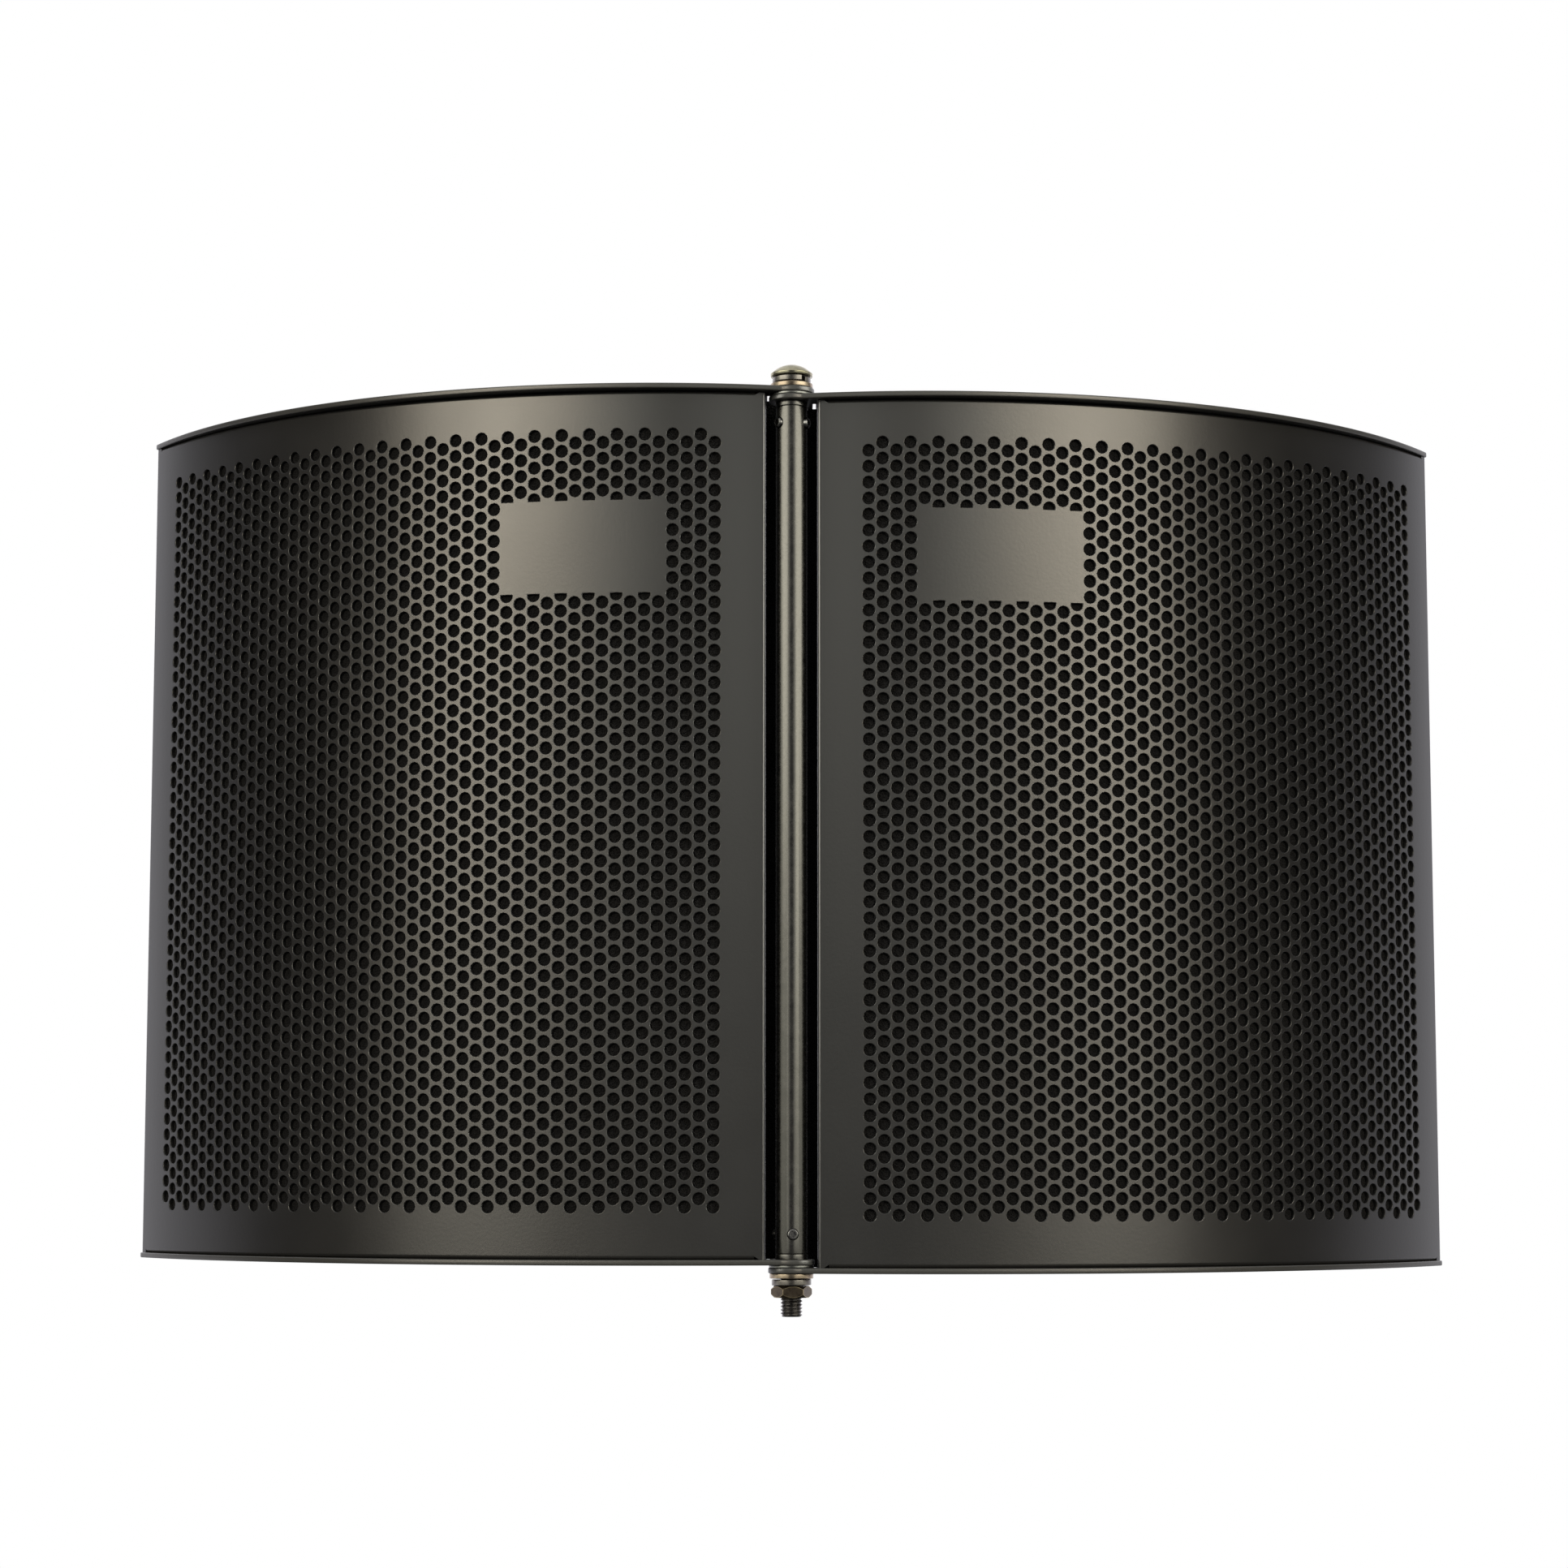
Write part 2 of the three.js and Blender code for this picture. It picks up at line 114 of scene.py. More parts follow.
RIGHT_BASE, RIGHT_FLOOR = span_mm("right_bottom_plate", 2)
LEFT_BASE = span_mm("left_bottom_plate", 2)[0]
PLATE = RIGHT_FLOOR - RIGHT_BASE
TOP_PLATE_OFFSET = span_mm("right_top_plate", 2)[0] - RIGHT_BASE
SHELL_LOW, SHELL_HIGH = (z - RIGHT_BASE for z in span_mm("right_shell", 2))
FOAM_LOW, FOAM_HIGH = (z - RIGHT_BASE for z in span_mm("right_foam", 2))
PANELS = {"right": (1, RIGHT_BASE), "left": (-1, LEFT_BASE)}

# ---- panel, in plan
ARC_RADIUS = 250.0
ARC_START = math.radians(-8.84)
ARC_END = math.radians(56.2)
INNER_EDGE = (9.4, -5.3)
ARC_CENTRE = (
    INNER_EDGE[0] - ARC_RADIUS * math.sin(ARC_START),
    INNER_EDGE[1] + ARC_RADIUS * math.cos(ARC_START),
)
ARC_LENGTH = ARC_RADIUS * (ARC_END - ARC_START)
SHEET = 1.2
TRAY_DEPTH = 18.0
LIP_BEND = 1.5
TAB_WIDTH = 4.2
TAB_TOP_WIDTH = 2.4
TAB_BEVEL_HEIGHT = 1.2
EDGE_BEND = 1.5
FOLD_REAR = 4.7

# ---- perforation
PITCH = 6.0
COLUMN_STEP = PITCH * math.sqrt(3) / 2
SAME_PLACE = 1e-6
HEX_CORNER = PITCH / math.sqrt(3)
HOLE_RADIUS = 2.25
HOLE_ROUND = 0.35
HOLE_SIDES = 12
COLUMNS = 48
ROWS = 48
FIRST_COLUMN = 19.29
FIRST_ROW = 20.95
# A rectangle in each panel is left blank. It cuts off the holes of the odd columns in two rows: for
# these, the side that stays open (1 below, -1 above) and the height of the cut over the hole's centre.
BLANK_COLUMNS = range(4, 16)
BLANK_ROWS = (range(38, 44), range(38, 43))  # in the even and the odd columns
CUT_HOLE_ROWS = {37: (1, 0.4), 43: (-1, -0.5)}

# ---- plates
PLATE_RADIUS = 240.1
PLATE_SHIFT = 14.5
PLATE_LEAN = math.radians(14)
PLATE_EDGE_ROUND = 0.45
LEVEL_FACE = 0.999
EAR_RADIUS = 8.5
EAR_HOLE = 4.3
EAR_CORNER = (8.0, 12.0)
EAR_END_ANGLE = math.radians(65)
SLOT_WIDTH = 1.1
SLOT_FRONT = 2.5
CORNER_RADIUS = 1.2

# ---- foam
FOAM_GAP = 0.3
FOAM_THICKNESS = 35.0
FOAM_PEAK_TRIM = 1.0
FOAM_VALLEY = 19.0
FOAM_END_ANGLE = math.radians(65)
FOAM_STEP_Y = 12.0
FOAM_CELLS_ACROSS = 9
FOAM_CELLS_UP = 12
FOAM_TONGUE = 1.75
FOAM_TONGUE_DEPTH = 12.0
FOAM_POINTS = 144
FOAM_LEVELS = 168
FOAM_SOFTNESS = 0.12
FOAM_PEAK_CUT = 0.93
FOAM_LUMPS = ((0.09, 0.35), (0.45, 0.22))

# ---- post and fasteners
TUBE_BORE = 5.0
BUSHING_FLANGE = 1.9
BUSHING_SPIGOT = 4.7
BUSHING_BORE = 4.1
WASHER_BORE = 4.2
SPRING_BORE = 4.3
SPRING_RADIUS = 7.2
SPRING_RISE = 0.4
SPRING_OPENING = math.radians(13)
SPRING_TURNS = {"upper": math.radians(-52), "lower": math.radians(110)}
GRUBS = {"upper": (329.9, math.radians(-143)), "lower": (29.8, math.radians(-85))}
GRUB_COUNT = 3
GRUB_RADIUS = 2.0
GRUB_NEAR = 4.0
GRUB_FAR = 7.0
GRUB_CHAMFER = 0.35
GRUB_SOCKET = 1.15
GRUB_SOCKET_DEPTH = 1.5
NUT_TURN = math.radians(5)
NUT_BORE = 4.15
NUT_CHAMFER = 1.45
SHANK_RADIUS = 3.85
HEAD_RADIUS = 8.0
HEAD_RIM = 1.2
HEAD_GAP = 0.05
HEAD_SOCKET = 2.9
HEAD_SOCKET_DEPTH = 2.6
THREAD_PITCH = 1.25
THREAD_CREST = 4.0
THREAD_ROOT = 3.38
THREAD_CREST_EDGE = 0.94
THREAD_FLANK = 0.82
THREAD_TOP = 24.0
THREAD_CHAMFER = 0.7


# ---- mesh helpers
def linked(name, data):
    """A new object in the scene."""
    thing = bpy.data.objects.new(name, data)
    bpy.context.scene.collection.objects.link(thing)
    return thing


def shape(name, points, faces):
    """An object made from points in millimetres."""
    mesh = bpy.data.meshes.new(name)
    mesh.from_pydata((np.asarray(points, float) * MM).tolist(), [], faces)
    mesh.update()
    return linked(name, mesh)


def solid(name, points, faces):
    """A closed object, its coincident points merged and its faces turned outwards."""
    piece = shape(name, points, faces)
    weld(piece)
    return piece


def dress(piece, body, material, node=None):
    """Gives a piece its material, the body it rides on and the CAD node it replaces."""
    piece.data.materials.clear()
    piece.data.materials.append(material)
    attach(piece, body)
    if node:
        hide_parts(node)


def smooth_by_angle(piece, degrees):
    """Smooth shading with creases where faces meet at more than the given angle."""
    piece.data.shade_smooth()
    piece.data.set_sharp_from_angle(angle=math.radians(degrees))


def weld(piece, repair=False):
    """Merges coincident points and turns every face outwards. Repair also closes open edges."""
    edit = bmesh.new()
    edit.from_mesh(piece.data)
    if repair:
        stray = [point for point in edit.verts if not point.link_faces]
        bmesh.ops.delete(edit, geom=stray, context="VERTS")
    bmesh.ops.remove_doubles(edit, verts=edit.verts, dist=WELD_DISTANCE * MM)
    if repair:
        bmesh.ops.dissolve_degenerate(edit, edges=edit.edges, dist=WELD_DISTANCE * MM)
        open_edges = [edge for edge in edit.edges if edge.is_boundary]
        bmesh.ops.holes_fill(edit, edges=open_edges, sides=0)
    bmesh.ops.recalc_face_normals(edit, faces=edit.faces)
    edit.to_mesh(piece.data)
    edit.free()


def final_mesh(thing):
    """A mesh of an object as its modifiers or curve settings shape it."""
    bpy.context.view_layer.update()
    result = thing.evaluated_get(bpy.context.evaluated_depsgraph_get())
    return bpy.data.meshes.new_from_object(result)


def boolean(piece, tool, operation="DIFFERENCE"):
    """Cuts or intersects a piece with a tool object, which is then discarded."""
    modifier = piece.modifiers.new("cut", "BOOLEAN")
    modifier.operation = operation
    modifier.solver = "EXACT"
    modifier.object = tool
    mesh = final_mesh(piece)
    piece.modifiers.clear()
    piece.data = mesh
    bpy.data.objects.remove(tool)


def strips(count, rings, ring_closed=True, rings_closed=False):
    """Quads between neighbouring rings of `count` points, numbered ring after ring."""
    faces = []
    for ring in range(rings if rings_closed else rings - 1):
        here = ring * count
        there = (ring + 1) % rings * count
        for index in range(count if ring_closed else count - 1):
            after = (index + 1) % count
            faces.append((here + index, here + after, there + after, there + index))
    return faces


def end_caps(count, rings):
    """The first and the last ring as two faces that look away from each other."""
    return [tuple(reversed(range(count))), tuple(range((rings - 1) * count, rings * count))]


def chamfered(low, high, face, radius, chamfer):
    """The open section of a solid whose radius changes from face to radius over both chamfers."""
    rim = [(radius, low + chamfer), (radius, high - chamfer)]
    return [(0, low), (face, low), *rim, (face, high), (0, high)]


def turned(name, section, segments=96, closed=True):
    """A body of revolution about Z. A closed section goes once round; an open one joins the axis."""
    points = []
    for step in range(segments):
        angle = TAU * step / segments
        points += [(radius * math.cos(angle), radius * math.sin(angle), z) for radius, z in section]
    return solid(name, points, strips(len(section), segments, closed, rings_closed=True))


def corner_curve(start, corner, end, steps):
    """Points of a soft curve from start to end, pulled towards the corner."""
    shares = [step / steps for step in range(steps + 1)]
    return [tuple(start * (1 - t) ** 2 + corner * 2 * t * (1 - t) + end * t * t) for t in shares]


def rounded(section, radius, steps=3, closed=True):
    """The section with its corners rounded. A corner given as (r, z, own) uses its own radius."""
    result = []
    count = len(section)
    for index, corner in enumerate(section):
        here = Vector(corner[:2])
        own = corner[2] if len(corner) > 2 else radius
        if own <= 0 or (not closed and index in (0, count - 1)):
            result.append(tuple(here))
            continue
        before = Vector(section[index - 1][:2]) - here
        after = Vector(section[(index + 1) % count][:2]) - here
        reach = min(own, 0.45 * before.length, 0.45 * after.length)
        start = here + before.normalized() * reach
        end = here + after.normalized() * reach
        result += corner_curve(start, here, end, steps)
    return result


def ring_points(centre, radius, count, turn=0.0):
    """Points evenly round a circle."""
    angles = [turn + TAU * step / count for step in range(count)]
    return [(centre[0] + radius * math.cos(a), centre[1] + radius * math.sin(a)) for a in angles]


def hexagon_block(name, corner, low, high, turn=0.0):
    """A hexagonal prism about Z."""
    outline = ring_points((0, 0), corner, 6, turn)
    points = [(x, y, z) for z in (low, high) for x, y in outline]
    return solid(name, points, end_caps(6, 2) + strips(6, 2))


# ---- panel geometry
def arc_point(radius, angle):
    """A place in plan at a radius and angle about the arc's centre; angle 0 points forwards, to -Y."""
    return np.array((
        ARC_CENTRE[0] + radius * math.sin(angle),
        ARC_CENTRE[1] - radius * math.cos(angle),
    ))


def angle_at_x(radius, x):
    return math.asin((x - ARC_CENTRE[0]) / radius)


def bend(length, radius, angle):
    """Forward and inward travel and the turn made, for lengths measured past a bend's start."""
    turn = np.clip(length / radius, 0, angle)
    straight = np.maximum(length - radius * angle, 0)
    forward = radius * np.sin(turn) + straight * math.cos(angle)
    inward = radius * (1 - np.cos(turn)) + straight * math.sin(angle)
    return forward, inward, turn


class Sheet:
    """A folded, perforated sheet: outer and inner faces, hole walls and rims, on shared points.

    A point is (u, z, lip, fold, inset): u runs along the curved face from the inner edge, z up,
    lip and fold are the lengths past the start of a lip's or an edge fold's bend (signed: + up or
    towards the outer edge), and inset is the depth below the outer face.
    """

    def __init__(self):
        self.index = {}
        self.rows = []
        self.axes = {}
        self.outer = []
        self.inner = []
        self.bevel = []
        self.wall = []

    def point(self, u, z, lip=0.0, fold=0.0, inset=0.0):
        key = (round(u, 3), round(z, 3), round(lip, 3), round(fold, 3), round(inset, 3))
        if key not in self.index:
            self.index[key] = len(self.rows)
            self.rows.append((u, z, lip, fold, inset))
        return self.index[key]

    def below(self, point):
        u, z, lip, fold, _ = self.rows[point]
        return self.point(u, z, lip, fold, SHEET)

    def add_face(self, corners):
        """An unperforated patch on both faces. Corners run anticlockwise seen from outside."""
        ring = list(dict.fromkeys(corners))
        if len(ring) < 3 or abs(self.area(ring)) < SMALLEST_AREA:
            return
        self.outer.append(tuple(ring))
        self.inner.append(tuple(self.below(corner) for corner in reversed(ring)))

    def area(self, ring):
        """Signed area of a ring of points, on the sheet laid flat."""
        flat = [(self.rows[p][0] + self.rows[p][3], self.rows[p][1] + self.rows[p][2]) for p in ring]
        twice = 0.0
        for (ax, ay), (bx, by) in zip(flat, flat[1:] + flat[:1]):
            twice += ax * by - bx * ay
        return twice / 2

    def add_hole(self, centre, corners, face_ring, wall_ring):
        """A hexagonal cell with a round hole, from the outlines of its rounded edge and its wall."""
        face = [self.point(u, z) for u, z in face_ring]
        top = [self.point(u, z, inset=HOLE_ROUND) for u, z in wall_ring]
        back = [self.point(u, z, inset=SHEET) for u, z in wall_ring]
        for point in top + back:
            self.axes[point] = centre
        for side in range(6):
            here, there = corners[side], corners[(side + 1) % 6]
            a, b, c = (face[(2 * side + k) % HOLE_SIDES] for k in range(3))
            self.outer += [(here, there, b), (here, b, a), (there, c, b)]
            a, b, c = (back[(2 * side + k) % HOLE_SIDES] for k in range(3))
            under_here, under_there = self.below(here), self.below(there)
            self.inner += [(under_there, under_here, b), (under_here, a, b), (under_there, b, c)]
        for step in range(HOLE_SIDES):
            after = (step + 1) % HOLE_SIDES
            self.bevel.append((face[step], face[after], top[after], top[step]))
            self.wall.append((top[step], top[after], back[after], back[step]))

    def rims(self):
        """Narrow faces that close the sheet's free edges."""
        edges = dict.fromkeys(edge for face in self.outer for edge in zip(face, face[1:] + face[:1]))
        hole_edges = {(a, b) for a, b, _, _ in self.bevel}
        rims = []
        for a, b in edges:
            if (b, a) not in edges and (b, a) not in hole_edges:
                rims.append((b, a, self.below(a), self.below(b)))
        return rims

    def place(self, base_z):
        """Positions in millimetres and outward normals of every point."""
        u, z, lip, fold, inset = np.array(self.rows, float).T
        angle = ARC_START + u / ARC_RADIUS
        up = np.array((0.0, 0.0, 1.0))
        out = np.stack((np.sin(angle), -np.cos(angle), 0 * angle), 1)
        along = np.stack((np.cos(angle), np.sin(angle), 0 * angle), 1)
        spot = ARC_RADIUS * out + (z + base_z)[:, None] * up
        spot[:, :2] += ARC_CENTRE
        normal = out.copy()
        inner_turn = math.pi / 2 + ARC_START + EDGE_BEND / ARC_RADIUS
        folds = (
            (lip, up, LIP_BEND, math.pi / 2, lip != 0),
            (fold, along, EDGE_BEND, inner_turn, fold < 0),
            (fold, along, EDGE_BEND, math.pi / 2, fold > 0),
        )
        for length, direction, radius, turn_angle, chosen in folds:
            forward, inward, turn = bend(np.abs(length), radius, turn_angle)
            ahead = direction * np.sign(length)[:, None]
            moved = spot + ahead * forward[:, None] - out * inward[:, None]
            turned_out = out * np.cos(turn)[:, None] + ahead * np.sin(turn)[:, None]
            spot[chosen] = moved[chosen]
            normal[chosen] = turned_out[chosen]
        return spot - normal * inset[:, None], normal


def cut_ring(centre, radius, side, level):
    """A round hole's outline closed off by a level line: side +1 keeps what lies below the line."""
    arc_count = HOLE_SIDES * 2 // 3
    limit = math.asin(max(-1, min(1, level / radius)))
    start = limit if side < 0 else math.pi - limit
    sweep = math.pi - 2 * limit if side < 0 else math.pi + 2 * limit
    points = []
    for step in range(arc_count + 1):
        angle = start + sweep * step / arc_count
        points.append((radius * math.cos(angle), radius * math.sin(angle)))
    first, last = points[0], points[-1]
    flat_count = HOLE_SIDES - arc_count
    for step in range(1, flat_count):
        t = step / flat_count
        points.append((last[0] + (first[0] - last[0]) * t, level))
    shift = 1 if side < 0 else -5
    points = points[shift:] + points[:shift]
    return [(centre[0] + x, centre[1] + y) for x, y in points]


def hole_kind(column, row):
    """'hole', 'blank', or the (side, level) of a hole cut off by the edge of the blank panel."""
    if not (0 <= column < COLUMNS and 0 <= row < ROWS):
        return "blank"
    if column not in BLANK_COLUMNS:
        return "hole"
    odd = column % 2
    if row in BLANK_ROWS[odd]:
        return "blank"
    return CUT_HOLE_ROWS.get(row, "hole") if odd else "hole"


def beside_tab(u):
    """Moves the border point nearest to where a lip gives way to a tab exactly there."""
    middle = ARC_LENGTH / 2
    from_edge = middle - abs(u - middle)
    if abs(from_edge - TAB_WIDTH) < COLUMN_STEP / 3 - 0.01:
        from_edge = TAB_WIDTH
    return from_edge if u < middle else ARC_LENGTH - from_edge


def shell_sheet():
    """The perforated web, its lips, folds and the tabs that reach up beside the folds."""
    sheet = Sheet()
    u_low, u_high = EDGE_BEND, ARC_LENGTH - EDGE_BEND
    z_low, z_high = SHELL_LOW + LIP_BEND, SHELL_HIGH - LIP_BEND

    def corner_point(u, z):
        u = min(max(u, u_low), u_high)
        if not z_low < z < z_high:
            u = beside_tab(u)
        return sheet.point(u, min(max(z, z_low), z_high))

    margin = 5  # cells beyond the holes, enough to reach every edge of the sheet
    for column in range(-margin, COLUMNS + margin):
        u = FIRST_COLUMN + column * COLUMN_STEP
        for row in range(-margin, ROWS + margin):
            z = FIRST_ROW + row * PITCH + (PITCH / 2 if column % 2 else 0)
            corners = [corner_point(x, y) for x, y in ring_points((u, z), HEX_CORNER, 6)]
            kind = hole_kind(column, row)
            if kind == "blank":
                sheet.add_face(corners)
                continue
            face_radius = HOLE_RADIUS + HOLE_ROUND
            if kind == "hole":
                face_ring = ring_points((u, z), face_radius, HOLE_SIDES)
                wall_ring = ring_points((u, z), HOLE_RADIUS, HOLE_SIDES)
            else:
                side, level = kind
                face_ring = cut_ring((u, z), face_radius, side, level + side * HOLE_ROUND)
                wall_ring = cut_ring((u, z), HOLE_RADIUS, side, level)
            sheet.add_hole((u, z), corners, face_ring, wall_ring)

    add_lips_and_folds(sheet, (u_low, u_high), (z_low, z_high))
    return sheet


def add_lips_and_folds(sheet, u_limits, z_limits):
    """The lips along the top and bottom, the tabs beside them and the folds along both ends."""
    lip_steps = bend_steps(LIP_BEND, math.pi / 2, TRAY_DEPTH - LIP_BEND, 6)
    outer_steps = bend_steps(EDGE_BEND, math.pi / 2, TRAY_DEPTH - EDGE_BEND, 4)
    hinge_flat = FOLD_REAR - INNER_EDGE[1] - EDGE_BEND
    inner_steps = bend_steps(EDGE_BEND, math.pi / 2 + ARC_START, hinge_flat, 4)
    flat = [row for row in sheet.rows if row[2] == row[3] == row[4] == 0]
    tab_taper = (TAB_TOP_WIDTH - EDGE_BEND) / (TAB_WIDTH - EDGE_BEND)
    close = 0.01
    lip_start = TAB_WIDTH - close

    def border(index, edge, low, high):
        """Places along a border of the flat web, from the coordinate that runs along it."""
        values = (row[index] for row in flat if abs(row[1 - index] - edge) < SAME_PLACE)
        inside = (value for value in values if low - SAME_PLACE <= value <= high + SAME_PLACE)
        return sorted(set(round(value, 6) for value in inside))

    def patch(order, *corners):
        sheet.add_face([sheet.point(*corner) for corner in corners][::order])

    for up, z_edge, z_end in ((1, z_limits[1], SHELL_HIGH), (-1, z_limits[0], SHELL_LOW)):
        across = border(0, z_edge, *u_limits)
        inside = [u for u in across if lip_start < u < ARC_LENGTH - lip_start]
        for a, b in zip(inside, inside[1:]):
            for near, far in zip(lip_steps, lip_steps[1:]):
                low_side = ((a, z_edge, up * near), (b, z_edge, up * near))
                high_side = ((b, z_edge, up * far), (a, z_edge, up * far))
                patch(up, *low_side, *high_side)
        z_bevel = z_end - up * TAB_BEVEL_HEIGHT
        for edge, side in ((u_limits[0], 1), (u_limits[1], -1)):
            taper = tab_taper if side > 0 else 1
            beside = [u for u in across if abs(u - edge) < TAB_WIDTH - EDGE_BEND + close][::side]
            for a, b in zip(beside, beside[1:]):
                a_end, b_end = (edge + (u - edge) * taper for u in (a, b))
                rungs = [(a, b, z_edge), (a, b, z_bevel), (a_end, b_end, z_end)]
                for (near_a, near_b, near), (far_a, far_b, far) in zip(rungs, rungs[1:]):
                    patch(up * side, (near_a, near), (near_b, near), (far_b, far), (far_a, far))

    for edge, side, steps in ((u_limits[0], -1, inner_steps), (u_limits[1], 1, outer_steps)):
        heights = [SHELL_LOW, *border(1, edge, *z_limits), SHELL_HIGH]
        for a, b in zip(heights, heights[1:]):
            for near, far in zip(steps, steps[1:]):
                lengths = ((a, near), (a, far), (b, far), (b, near))
                patch(side, *((edge, z, 0.0, side * length) for z, length in lengths))


def bend_steps(radius, angle, flat, count):
    """Lengths past a bend's start: round the bend, then along the flat in two steps."""
    arc = radius * angle
    return [arc * step / count for step in range(count + 1)] + [arc + flat / 2, arc + flat]


def shell_piece(sheet, node, side, base_z, body, material):
    """The sheet as a mesh whose shading normals follow the true rounded surface."""
    rims = sheet.rims()
    spot, normal = sheet.place(base_z)
    rows = np.array(sheet.rows, float)
    toward_axis = np.zeros_like(normal)
    members = np.array(list(sheet.axes))
    inward = np.array(list(sheet.axes.values())) - rows[members, :2]
    inward /= np.linalg.norm(inward, axis=1)[:, None]
    angle = ARC_START + rows[members, 0] / ARC_RADIUS
    across, up = inward.T
    toward_axis[members] = np.stack((across * np.cos(angle), across * np.sin(angle), up), 1)
    faces = sheet.outer + sheet.inner + sheet.bevel + sheet.wall + rims
    shading = [normal[list(face)] for face in sheet.outer]
    shading += [-normal[list(face)] for face in sheet.inner]
    for a, b, c, d in sheet.bevel:
        shading.append(np.stack((normal[a], normal[b], toward_axis[c], toward_axis[d])))
    shading += [toward_axis[list(face)] for face in sheet.wall]
    for face in rims:
        a, b, c = spot[list(face[:3])]
        flat = np.cross(b - a, c - a)
        shading.append(np.repeat(flat[None] / np.linalg.norm(flat), 4, 0))
    if side < 0:
        mirror = np.array((-1, 1, 1))
        spot = spot * mirror
        shading = [(loop * mirror)[::-1] for loop in shading]
        faces = [face[::-1] for face in faces]
    piece = shape(f"{node}_perforated", spot, faces)
    dress(piece, body, material, node)
    piece.data.shade_smooth()
    piece.data.normals_split_custom_set(np.concatenate(shading).tolist())


# ---- plates
def plate_reach(angle):
    """Distance of a plate's front edge from the arc's centre."""
    turn = angle - PLATE_LEAN
    across = PLATE_SHIFT * math.sin(turn)
    return PLATE_SHIFT * math.cos(turn) + math.sqrt(PLATE_RADIUS**2 - across**2)


def circle_arc(centre, radius, start, end, step_mm=1.5):
    """Points along a circular arc, both ends included, about step_mm apart."""
    count = max(6, math.ceil(abs(end - start) * radius / step_mm))
    angles = [start + (end - start) * step / count for step in range(count + 1)]
    return [(centre[0] + radius * math.cos(a), centre[1] + radius * math.sin(a)) for a in angles]


def plate_outline():
    """Plan of a right-hand plate, anticlockwise, starting where its front edge meets the ear."""
    centre = arc_point(PLATE_SHIFT, PLATE_LEAN)
    rear = ARC_RADIUS - TRAY_DEPTH
    reach = math.hypot(*centre)
    cosine = (EAR_RADIUS**2 + reach**2 - PLATE_RADIUS**2) / (2 * EAR_RADIUS * reach)
    seam_angle = math.atan2(centre[1], centre[0]) - math.acos(cosine)
    seam = (EAR_RADIUS * math.cos(seam_angle), EAR_RADIUS * math.sin(seam_angle))
    corner_angle = ARC_END - CORNER_RADIUS / ARC_RADIUS
    corner_start = arc_point(plate_reach(corner_angle), corner_angle)
    corner = arc_point(plate_reach(ARC_END), ARC_END)
    corner_end = arc_point(plate_reach(ARC_END) - CORNER_RADIUS, ARC_END)
    slot = SLOT_WIDTH / 2
    slot_centre = (EAR_CORNER[0] + slot, SLOT_FRONT + slot)
    body_x = EAR_CORNER[0] + SLOT_WIDTH
    quarter = math.pi / 2

    def angle_of(point):
        return math.atan2(point[1] - centre[1], point[0] - centre[0])

    points = circle_arc(centre, PLATE_RADIUS, angle_of(seam), angle_of(corner_start))
    points += corner_curve(corner_start, corner, corner_end, 6)[1:]
    points += circle_arc(ARC_CENTRE, rear, ARC_END - quarter, angle_at_x(rear, body_x) - quarter)
    points += circle_arc(slot_centre, slot, 0, -math.pi, 0.2)
    points += [EAR_CORNER, (EAR_CORNER[1] / math.tan(EAR_END_ANGLE), EAR_CORNER[1])]
    points += circle_arc((0, 0), EAR_RADIUS, EAR_END_ANGLE, seam_angle + TAU, 0.6)[:-1]
    return points


def plate_piece(node, side, base_z, body, material):
    """A plate with softly rounded edges, made as a filled outline with a round hole."""
    outline = [(side * x, y) for x, y in plate_outline()]
    hole = circle_arc((0, 0), EAR_HOLE, 0, TAU, 0.6)[:-1]
    curve = bpy.data.curves.new(node, "CURVE")
    curve.dimensions = "2D"
    curve.fill_mode = "BOTH"
    curve.extrude = (PLATE / 2 - PLATE_EDGE_ROUND) * MM
    curve.bevel_depth = PLATE_EDGE_ROUND * MM
    curve.bevel_resolution = 3
    curve.offset = -PLATE_EDGE_ROUND * MM
    for loop in (outline, hole):
        spline = curve.splines.new("POLY")
        spline.points.add(len(loop) - 1)
        for point, (x, y) in zip(spline.points, loop):
            point.co = (x * MM, y * MM, 0, 1)
        spline.use_cyclic_u = True
    filled = linked(node + "_outline", curve)
    mesh = final_mesh(filled)
    mesh.transform(Matrix.Translation((0, 0, (base_z + PLATE / 2) * MM)))
    bpy.data.objects.remove(filled)
    piece = linked(node + "_sheet", mesh)
    weld(piece)
    smooth_by_angle(piece, 40)
    for face in piece.data.polygons:
        face.use_smooth = abs(face.normal.z) < LEVEL_FACE
    dress(piece, body, material, node)


# ---- foam
def distance_to_arc(direction, radius):
    """How far from the post's axis a line in the given direction meets an arc of the panel."""
    along = direction[0] * ARC_CENTRE[0] + direction[1] * ARC_CENTRE[1]
    reach = ARC_CENTRE[0] ** 2 + ARC_CENTRE[1] ** 2
    return along - math.sqrt(along**2 - reach + radius**2)


def spread(points, count):
    """Points spaced evenly along a polyline, always keeping its corners."""
    points = [np.array(p, float) for p in points]
    lengths = [np.linalg.norm(b - a) for a, b in zip(points, points[1:])]
    total = sum(lengths)
    result = []
    for (a, b), length in zip(zip(points, points[1:]), lengths):
        steps = max(1, round(count * length / total))
        result += [a + (b - a) * step / steps for step in range(steps)]
    return result + [points[-1]]


